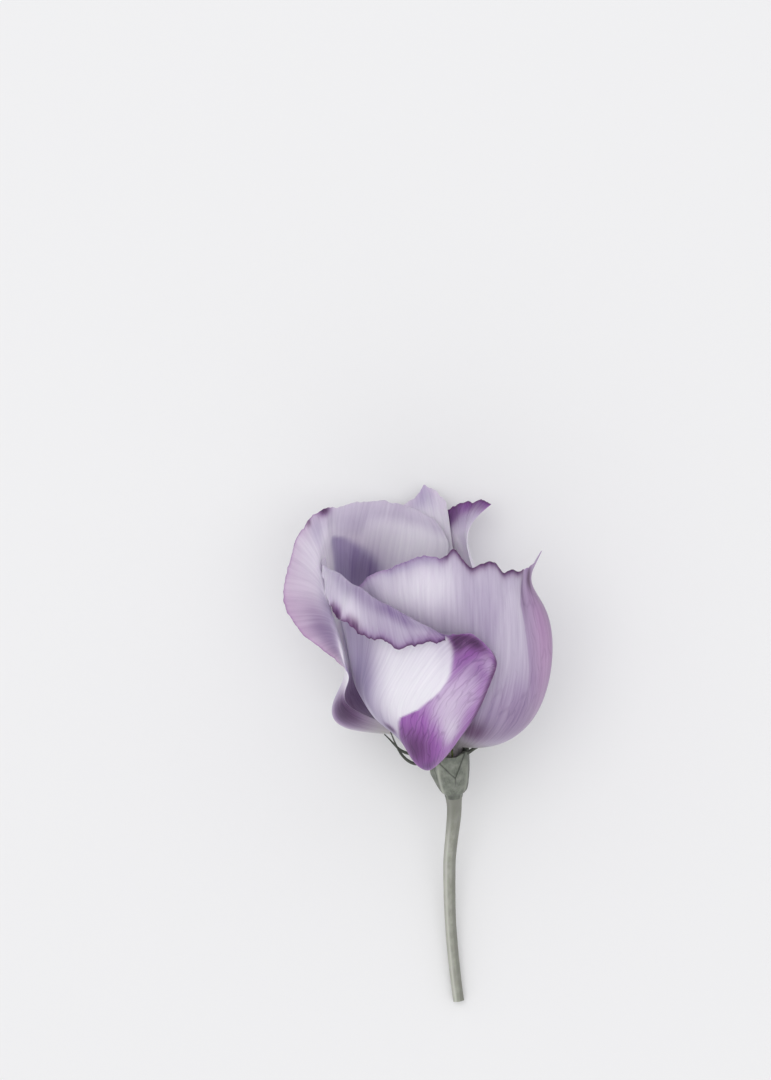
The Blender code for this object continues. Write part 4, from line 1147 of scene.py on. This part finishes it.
@dataclass
class Calyx:
    """The cup of five keeled sepals, joined by a thinner skin, each ending in a long awn."""

    wall: float = 0.6
    skirt: float = 0.75           # how far the cup's base wraps the top of the stem
    lobes_part_at: float = 5.3
    rim: float = 11.4             # how far the cup reaches at a lobe
    dip: float = 0.9              # and how much less between two
    lobe_rise: float = 0.24
    rises_over: tuple[float, float] = (0.0, 2.5)    # distance from the base over which the lobes rise
    keels_over: tuple[float, float] = (1.2, 4.8)    # and the keels
    crisp: float = 0.16           # mm over which a lobe's margin steps down to the skin
    line: float = 0.13            # half width of the dark line along it, mm
    mean_radius: float = 3.9      # turns an angle round the cup into mm
    profile: tuple[tuple[float, float], ...] = (
        (-0.75, 1.98), (0.0, 2.12), (0.3, 2.25), (0.6, 2.65), (1.25, 3.05), (2.0, 3.2), (2.9, 3.3),
        (4.4, 3.5), (5.8, 3.65), (8.4, 3.85), (11.6, 4.0))
    sides: int = 300
    outer_steps: int = 80
    inner_shares: tuple[float, ...] = (0.99, 0.85, 0.7, 0.5, 0.3, 0.2)
    awn_radii: tuple[float, ...] = (0.62, 0.46, 0.38, 0.34, 0.32, 0.30)
    awn_taper: float = 0.55       # share of the radius lost towards the tip
    awn_sides: int = 16
    awn_steps: int = 70
    sepals: tuple[Sepal, ...] = (
        Sepal(-48, 56, 0.35, 11, 8.8, ((2.2, -4.0, 20.2), (-0.4, -4.6, 21.2), (-3.1, -3.2, 22.0),
                                       (-4.9, -0.5, 22.6), (-6.2, 2.6, 23.2))),
        Sepal(-100, 36, 1.2, 24, 10.6, ((1.0, -2.5, 15.6), (-1.5, -2.7, 14.8), (-3.9, -1.9, 14.2),
                                        (-6.0, 0.1, 13.8), (-7.6, 1.7, 13.6))),
        Sepal(50, 42, 0.35, 11, 10.8, ((11.2, -2.1, 19.4), (12.3, -1.4, 19.0), (14.4, -0.3, 17.4),
                                       (16.8, 1.4, 15.6), (19.2, 3.4, 14.2))),
        Sepal(120, 36, 0.4, 12, 10.6, ((12.0, 0.0, 13.4), (14.0, 1.8, 11.6), (16.4, 4.2, 10.2),
                                       (18.4, 6.4, 9.4))),
        Sepal(-168, 36, 0.4, 12, 10.6, ((7.4, 1.4, 10.4), (8.2, 4.0, 7.8), (8.8, 6.5, 5.5), (9.3, 8.8, 3.8))),
    )

    def top(self, turn: float) -> float:
        """How far the cup reaches at an angle: five low points."""
        best = min(abs(sepal.away(turn)) for sepal in self.sepals)
        return self.rim - self.dip * min(1.0, best / (180.0 / len(self.sepals))) ** 0.8

    def inside(self, sepal: Sepal, turn: float, reach: float) -> float:
        """How far inside a lobe's margin a place on the cup lies, in mm."""
        return math.radians(sepal.width(reach, self.lobes_part_at) - abs(sepal.away(turn))) * self.mean_radius

    def point(self, turn: float, reach: float, inward: float) -> np.ndarray:
        """A point on the cup.

        Args:
            turn: the angle round it, in degrees.
            reach: the distance from its base.
            inward: 0 on the outer face and 1 on the inner one.

        Returns:
            The point.
        """
        near, side = frame_round(CALYX_AXIS)
        radius = float(np.interp(reach, *zip(*self.profile)))
        inside = max(self.inside(s, turn, reach) for s in self.sepals)
        lobe = float(smoothstep(-self.crisp, self.crisp, inside))
        keel = sum(s.keel * math.exp(-((s.away(turn) / s.keel_half) ** 2)) for s in self.sepals)
        swell = self.lobe_rise * lobe * ramp(*self.rises_over, reach)
        swell += keel * ramp(*self.keels_over, reach)
        radius += swell * (1.0 - inward) - inward * self.wall
        a = math.radians(turn)
        return CALYX_BASE + reach * unit(CALYX_AXIS) + radius * (math.cos(a) * near + math.sin(a) * side)

    def marks(self, turn: float, reach: float) -> np.ndarray:
        """Reads the painted light and the dark marks of a place on the cup.

        Args:
            turn: the angle round it, in degrees.
            reach: the distance from its base.

        Returns:
            How much painted light lies on the keel there, and how dark its dark lines and painted shade make
            it, both 0 to 1.
        """
        # painted highlight along the keels, fading out past 6 mm up the cup
        keel = max(math.exp(-((s.away(turn) / 7.0) ** 2)) for s in self.sepals)
        low = 1.0 - smoothstep(6.0, 10.0, reach)
        dark_lines_and_painted_shade = max(math.exp(-((self.inside(s, turn, reach) / self.line) ** 2)) for s in self.sepals)
        # painted shade on the flank turned from the light and at the foot where the cup meets the stalk
        flank = 0.55 * smoothstep(22.0, 62.0, turn)
        foot = 0.45 * (1.0 - smoothstep(0.0, 1.6, reach))
        return np.array([0.75 * keel * low, max(0.9 * dark_lines_and_painted_shade * smoothstep(2.4, 5.6, reach), flank, foot)])

    def build(self, material: bpy.types.Material) -> None:
        """Makes the cup and its awns as one piece.

        Args:
            material: the sepal finish.
        """
        turns = np.linspace(-180.0, 180.0, self.sides, endpoint=False)
        rings, marks = [], []
        for inward, shares in ((0.0, np.linspace(0.0, 1.0, self.outer_steps)), (1.0, self.inner_shares)):
            for share in shares:
                places = [(t, (self.top(t) + self.skirt) * share - self.skirt) for t in turns]
                rings.append([self.point(*place, inward) for place in places])
                marks += [self.marks(*place) * (1.0 - inward) for place in places]
        bodies = [np.array(rings)]
        even = np.linspace(0.0, 1.0, self.awn_steps)
        radii = np.interp(even, np.linspace(0.0, 1.0, len(self.awn_radii)), self.awn_radii)
        radii *= 1.0 - self.awn_taper * smoothstep(0.55, 1.0, even)
        for sepal in self.sepals:
            root = [tuple(self.point(sepal.keel_at, sepal.tip - back, 0.5)) for back in (1.2, 0.2)]
            path = smooth_path(root + list(sepal.awn), self.awn_steps)
            bodies.append(rod_rings(path, radii, self.awn_sides))
            marks += [(0.0, 0.85)] * (self.awn_steps * self.awn_sides)
        made = closed_mesh("calyx_sepals", bodies)
        made.data.materials.append(material)
        for name, values in zip(("keel", "dark_lines_and_painted_shade"), np.array(marks).T):
            store(made, name, values)
        settle(made, ["calyx"])


# The pistil and the stamens


def bloom_line(reach: float) -> np.ndarray:
    """A point on the middle line of the bloom, by its distance from the calyx mouth."""
    return CLAW_NECK_AT + reach * unit(BLOOM_AXIS)


@dataclass(frozen=True)
class GrainFinish:
    """Soft plant tissue, specked and a little rough, so it looks dry and powdery and hardly gleams."""

    name: str
    body: str
    speck: str
    speck_size: float             # mm
    relief: float = 0.04          # height of the specks, mm
    roughness: float = 0.6

    def build(self) -> bpy.types.Material:
        """Builds the material, specked by a noise that also raises it.

        Returns:
            The material.
        """
        material, tree, shader = new_material(self.name)
        place = add_node(tree, "ShaderNodeTexCoord").outputs["Object"]
        noise = add_node(tree, "ShaderNodeTexNoise", {},
                         {"Vector": place, "Scale": 1.0 / (self.speck_size * MM), "Detail": 3.0})
        share = add_node(tree, "ShaderNodeMapRange", {},
                         {0: noise.outputs[0], 1: 0.4, 2: 0.65, 3: 0.0, 4: 0.8})
        colour = add_node(tree, "ShaderNodeMix", {"data_type": "RGBA"},
                          {0: share.outputs[0], 6: linear(self.body), 7: linear(self.speck)})
        bump = add_node(tree, "ShaderNodeBump", {},
                        {"Strength": 0.4, "Distance": self.relief * MM, "Height": noise.outputs[0]})
        plug(shader, {"Base Color": colour.outputs[2], "Normal": bump.outputs[0],
                      "Roughness": self.roughness})
        return material


@dataclass(frozen=True)
class Grains:
    """Small grains that a node tree sets over a body, past a place along the bloom."""

    radius: float
    density: float                # grains to a square metre
    begin: float                  # distance from the calyx mouth
    seed: int

    @staticmethod
    def tree() -> bpy.types.NodeTree:
        """Builds the node tree that sets the grains and keeps the body under them.

        Returns:
            The tree.
        """
        tree, given = new_tree("grains_over_body", {
            "Body": "Geometry", "Grain radius": "Float", "Grains to a square metre": "Float",
            "From along the bloom": "Float", "Seed": "Int", "Body finish": "Material",
            "Grain finish": "Material"})
        here = add_node(tree, "GeometryNodeInputPosition").outputs[0]
        reach = add_node(tree, "ShaderNodeVectorMath", {"operation": "DOT_PRODUCT"},
                         {0: here, 1: tuple(unit(BLOOM_AXIS))})
        past = add_node(tree, "FunctionNodeCompare", {"data_type": "FLOAT", "operation": "GREATER_THAN"},
                        {0: reach.outputs["Value"], 1: given["From along the bloom"]})
        spots = add_node(tree, "GeometryNodeDistributePointsOnFaces", {},
                         {"Mesh": given["Body"], "Selection": past.outputs[0],
                          "Density": given["Grains to a square metre"], "Seed": given["Seed"]})
        grain = add_node(tree, "GeometryNodeMeshIcoSphere", {},
                         {"Radius": given["Grain radius"], "Subdivisions": 1})
        size = add_node(tree, "FunctionNodeRandomValue", {"data_type": "FLOAT"},
                        {2: 0.6, 3: 1.1, "Seed": given["Seed"]})
        grains = add_node(tree, "GeometryNodeInstanceOnPoints", {}, {
            "Points": spots.outputs[0], "Instance": grain.outputs[0], "Scale": size.outputs[1]})
        both = add_node(tree, "GeometryNodeJoinGeometry")
        for geometry, finish in ((given["Body"], "Body finish"), (grains.outputs[0], "Grain finish")):
            plug(both, {0: dressed(tree, geometry, given[finish])})
        add_node(tree, "NodeGroupOutput", {}, {0: both.outputs[0]})
        return tree

    def grow(self, source: bpy.types.Object, name: str, body: bpy.types.Material,
             grain: bpy.types.Material) -> bpy.types.Object:
        """Sets the grains on a body.

        Args:
            source: the body, which is replaced.
            name: the name of the result.
            body: the body's finish.
            grain: the grains' finish.

        Returns:
            The body with its grains.
        """
        begin = np.dot((bloom_line(self.begin) + SHIFT) * MM, unit(BLOOM_AXIS))
        return grown(source, self.tree(), name,
                     {"Grain radius": self.radius * MM, "Grains to a square metre": self.density,
                      "From along the bloom": float(begin), "Seed": self.seed, "Body finish": body,
                      "Grain finish": grain})


@dataclass
class Pistil:
    """Ovary, style and the two-lobed stigma, which is furred with small bumps."""

    ovary: tuple[tuple[float, float], ...] = (    # share of the way to the calyx mouth, and radius
        (0.0, 0.75), (0.04, 1.1), (0.14, 1.5), (0.3, 1.7), (0.55, 1.6), (0.78, 1.15), (0.95, 0.62))
    style: tuple[tuple[float, float], ...] = (    # distance from the calyx mouth, and radius
        (1.5, 0.45), (4.0, 0.4), (7.0, 0.42), (8.4, 0.6), (9.2, 1.15), (10.2, 1.45), (11.2, 1.2), (11.9, 0.5))
    sits_at: float = 2.6          # distance of its foot from the base of the calyx
    steps: int = 120
    sides: int = 40
    cleft_from: float = 0.82      # share of the length where the stigma's two lobes begin
    cleft_depth: float = 0.25     # share of the radius
    bumps: Grains = Grains(0.075, 2.2e7, 8.6, 5)

    def build(self, body: bpy.types.Material, velvet: bpy.types.Material) -> None:
        """Makes the pistil.

        Args:
            body: the finish of ovary and style.
            velvet: the finish of the stigma's bumps.
        """
        base = CALYX_BASE + self.sits_at * unit(CALYX_AXIS)
        path = [(*(base + share * (CLAW_NECK_AT - base)), radius) for share, radius in self.ovary]
        path += [(*bloom_line(reach), radius) for reach, radius in self.style]
        run = smooth_path(path, self.steps)
        rings = rod_rings(run[:, :3], run[:, 3], self.sides)
        near, side = frame_round(BLOOM_AXIS)
        for ring, place in zip(rings, np.linspace(0.0, 1.0, len(rings))):
            if place > self.cleft_from:
                centre = ring.mean(axis=0)
                off = ring - centre
                flat = min(1.0, (place - self.cleft_from) / 0.03)
                cleft = self.cleft_depth * np.exp(-((off @ side) / 0.3) ** 2)[:, None] * flat
                thinner = flat * 0.45 * (off @ near)[:, None] * near
                wider = flat * 0.35 * (off @ side)[:, None] * side
                ring[:] = centre + (off - thinner + wider) * (1.0 - cleft)
        made = self.bumps.grow(closed_mesh("pistil_core", [rings]), "pistil_carpels", body, velvet)
        settle(made, ["pistil"])


@dataclass
class Stamens:
    """Five stamens round the style, set out from one by a node tree."""

    count: int = 5
    filament: float = 0.3         # radius of the filament
    spread: tuple[tuple[float, float], ...] = (    # along the bloom, and distance from its middle line
        (1.4, 1.45), (3.4, 1.45), (5.6, 1.75), (7.8, 2.4))
    anther: tuple[float, float, float] = (0.72, 0.52, 1.55)     # half width, half depth, half length
    groove_depth: float = 0.22    # share of the anther's half depth
    first_turn: float = -31.0     # degrees from the top
    filament_steps: int = 30
    anther_steps: int = 26
    sides: int = 24
    pollen: Grains = Grains(0.06, 1.6e7, 8.2, 9)

    def one(self) -> bpy.types.Object:
        """Makes the first stamen, a filament with its grooved anther.

        Returns:
            The stamen, not yet dressed.
        """
        near, side = frame_round(BLOOM_AXIS)
        turn = math.radians(self.first_turn)
        outward = math.cos(turn) * near + math.sin(turn) * side
        run = smooth_path([bloom_line(reach) + radius * outward for reach, radius in self.spread],
                          self.filament_steps)
        rings = list(rod_rings(run, np.full(len(run), self.filament), self.sides))
        axis = unit(run[-1] - run[-2])
        across = unit(np.cross(axis, outward))
        depth = np.cross(across, axis)
        last = rings[-1] - run[-1]
        turns = np.arctan2(last @ depth, last @ across)
        half_width, half_depth, half_length = self.anther
        for share in np.linspace(-0.95, 1.0, self.anther_steps):
            swell = math.sqrt(max(0.0, 1.0 - share * share)) + 0.08
            groove = 1.0 - self.groove_depth * np.exp(-((np.cos(turns) / 0.28) ** 2)) * (1.0 - share**4)
            centre = run[-1] + axis * (half_length * (share + 1.0) + 0.1)
            rings.append(centre + (swell * groove)[:, None] * (
                half_width * np.cos(turns)[:, None] * across + half_depth * np.sin(turns)[:, None] * depth))
        return closed_mesh("stamen", [np.array(rings)])

    @staticmethod
    def round_tree() -> bpy.types.NodeTree:
        """Builds the node tree that repeats a body round the middle line of the bloom.

        Returns:
            The tree.
        """
        tree, given = new_tree("round_the_style", {
            "One": "Geometry", "Count": "Int", "Centre": "Vector", "Axis": "Vector", "Finish": "Material"})
        back = add_node(tree, "ShaderNodeVectorMath", {"operation": "SCALE"},
                        {0: given["Centre"], "Scale": -1.0})
        home = add_node(tree, "GeometryNodeTransform", {},
                        {"Geometry": given["One"], "Translation": back.outputs[0]})
        spots = add_node(tree, "GeometryNodePoints", {},
                         {"Count": given["Count"], "Position": given["Centre"]})
        index = add_node(tree, "GeometryNodeInputIndex")
        step = add_node(tree, "ShaderNodeMath", {"operation": "DIVIDE"},
                        {0: 2.0 * math.pi, 1: given["Count"]})
        angle = add_node(tree, "ShaderNodeMath", {"operation": "MULTIPLY"},
                         {0: index.outputs[0], 1: step.outputs[0]})
        turn = add_node(tree, "FunctionNodeAxisAngleToRotation", {},
                        {"Axis": given["Axis"], "Angle": angle.outputs[0]})
        ring = add_node(tree, "GeometryNodeInstanceOnPoints", {}, {
            "Points": spots.outputs[0], "Instance": home.outputs[0], "Rotation": turn.outputs[0]})
        add_node(tree, "NodeGroupOutput", {}, {0: dressed(tree, ring.outputs[0], given["Finish"])})
        return tree

    def build(self, body: bpy.types.Material, pollen: bpy.types.Material) -> None:
        """Makes the five stamens with pollen on their anthers, as one piece.

        Args:
            body: the finish of filament and anther.
            pollen: the finish of the pollen.
        """
        ring = grown(self.one(), self.round_tree(), "stamen_ring",
                     {"Count": self.count, "Centre": tuple((CLAW_NECK_AT + SHIFT) * MM),
                      "Axis": tuple(unit(BLOOM_AXIS)), "Finish": body})
        made = self.pollen.grow(ring, "stamens_with_pollen", body, pollen)
        settle(made, [f"stamen_{i + 1}" for i in range(self.count)])


# The studio


@dataclass
class Studio:
    """A pale floor, soft light and the camera that looks straight down on the bloom."""

    camera_at: tuple[float, float, float] = (-7.33, 45.33, 1025.0)     # before the shift, like the nets
    film: float = 36.0
    lens: float = 150.0
    air: tuple[str, float] = ("#F4F4F6", 0.89)     # colour and strength of the light from all round
    floor: str = "#EDEDED"
    floor_grain: float = 900.0    # grains to a metre
    floor_reach: float = 3000.0
    lights: tuple[tuple[tuple[float, float, float], float, float], ...] = (    # place, width and watts
        ((-330.0, 260.0, 1300.0), 1100.0, 3.7),
        ((520.0, -180.0, 1150.0), 1000.0, 1.3),
    )
    aim: tuple[float, float, float] = (0.0, 20.0, 20.0)     # where the lights look

    def build(self) -> None:
        """Builds the floor, the lights and the camera."""
        scene = bpy.context.scene
        scene.view_settings.view_transform = "Standard"
        self.build_floor()
        for number, (at, size, power) in enumerate(self.lights):
            light = bpy.data.lights.new(f"softbox_{number + 1}", "AREA")
            light.shape = "DISK"
            light.size = size * MM
            light.energy = power
            lamp = bpy.data.objects.new(light.name, light)
            lamp.location = np.array(at) * MM
            look = Vector(np.array(self.aim) * MM) - lamp.location
            lamp.rotation_euler = look.to_track_quat("-Z", "Y").to_euler()
            lamp.visible_camera = False
            scene.collection.objects.link(lamp)
        world = bpy.data.worlds.new("studio_air")
        world.use_nodes = True
        colour, strength = world.node_tree.nodes["Background"].inputs[:2]
        colour.default_value, strength.default_value = linear(self.air[0]), self.air[1]
        scene.world = world
        camera = bpy.data.cameras.new("view_from_above")
        camera.sensor_width = self.film
        camera.lens = self.lens
        camera.clip_start, camera.clip_end = 0.05, 10.0
        eye = bpy.data.objects.new("view_from_above", camera)
        eye.location = (np.array(self.camera_at) + SHIFT) * MM
        scene.collection.objects.link(eye)
        scene.camera = eye

    def build_floor(self) -> None:
        """Builds the floor, a sheet of matt paper wide enough for every view, which never gleams."""
        corners = np.array([(-1.0, -1.0, 0.0), (1.0, -1.0, 0.0), (1.0, 1.0, 0.0), (-1.0, 1.0, 0.0)])
        ground = new_mesh("studio_floor", corners * self.floor_reach - SHIFT, [(0, 1, 2, 3)])
        material, tree, shader = new_material("matt_paper")
        place = add_node(tree, "ShaderNodeTexCoord").outputs["Object"]
        tooth = add_node(tree, "ShaderNodeTexNoise", {},
                         {"Vector": place, "Scale": self.floor_grain, "Detail": 2.0})
        bump = add_node(tree, "ShaderNodeBump", {},
                        {"Strength": 0.05, "Distance": 0.05 * MM, "Height": tooth.outputs[0]})
        plug(shader, {"Base Color": linear(self.floor), "Normal": bump.outputs[0], "Roughness": 0.9,
                      "Specular IOR Level": 0.1})
        ground.data.materials.append(material)


def main() -> None:
    """Builds every piece in order."""
    logging.basicConfig(level=logging.INFO, format="%(name)s: %(message)s")
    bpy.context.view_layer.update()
    Studio().build()
    satin = PetalFinish().build()
    for petal in (NEAR_LEFT, NEAR_RIGHT, FAR_RIGHT, FAR, LEFT):
        petal.build(satin)
    Stem().build(GreenFinish("waxy_stalk", "#97988D", "#77786F", "#C4C5BB").build())
    Calyx().build(GreenFinish("waxy_sepal", "#73786E", "#373B32", "#B5B9AC").build())
    Pistil().build(GrainFinish("pistil_flesh", "#9CB25C", "#B9C97F", 0.5).build(),
                   GrainFinish("stigma_velvet", "#C9D27A", "#E0E3A8", 0.2).build())
    Stamens().build(GrainFinish("anther_skin", "#C9B25A", "#E3D28A", 0.4).build(),
                    GrainFinish("pollen", "#E6C64E", "#F3DF86", 0.1).build())


if __name__ == "__main__":
    main()
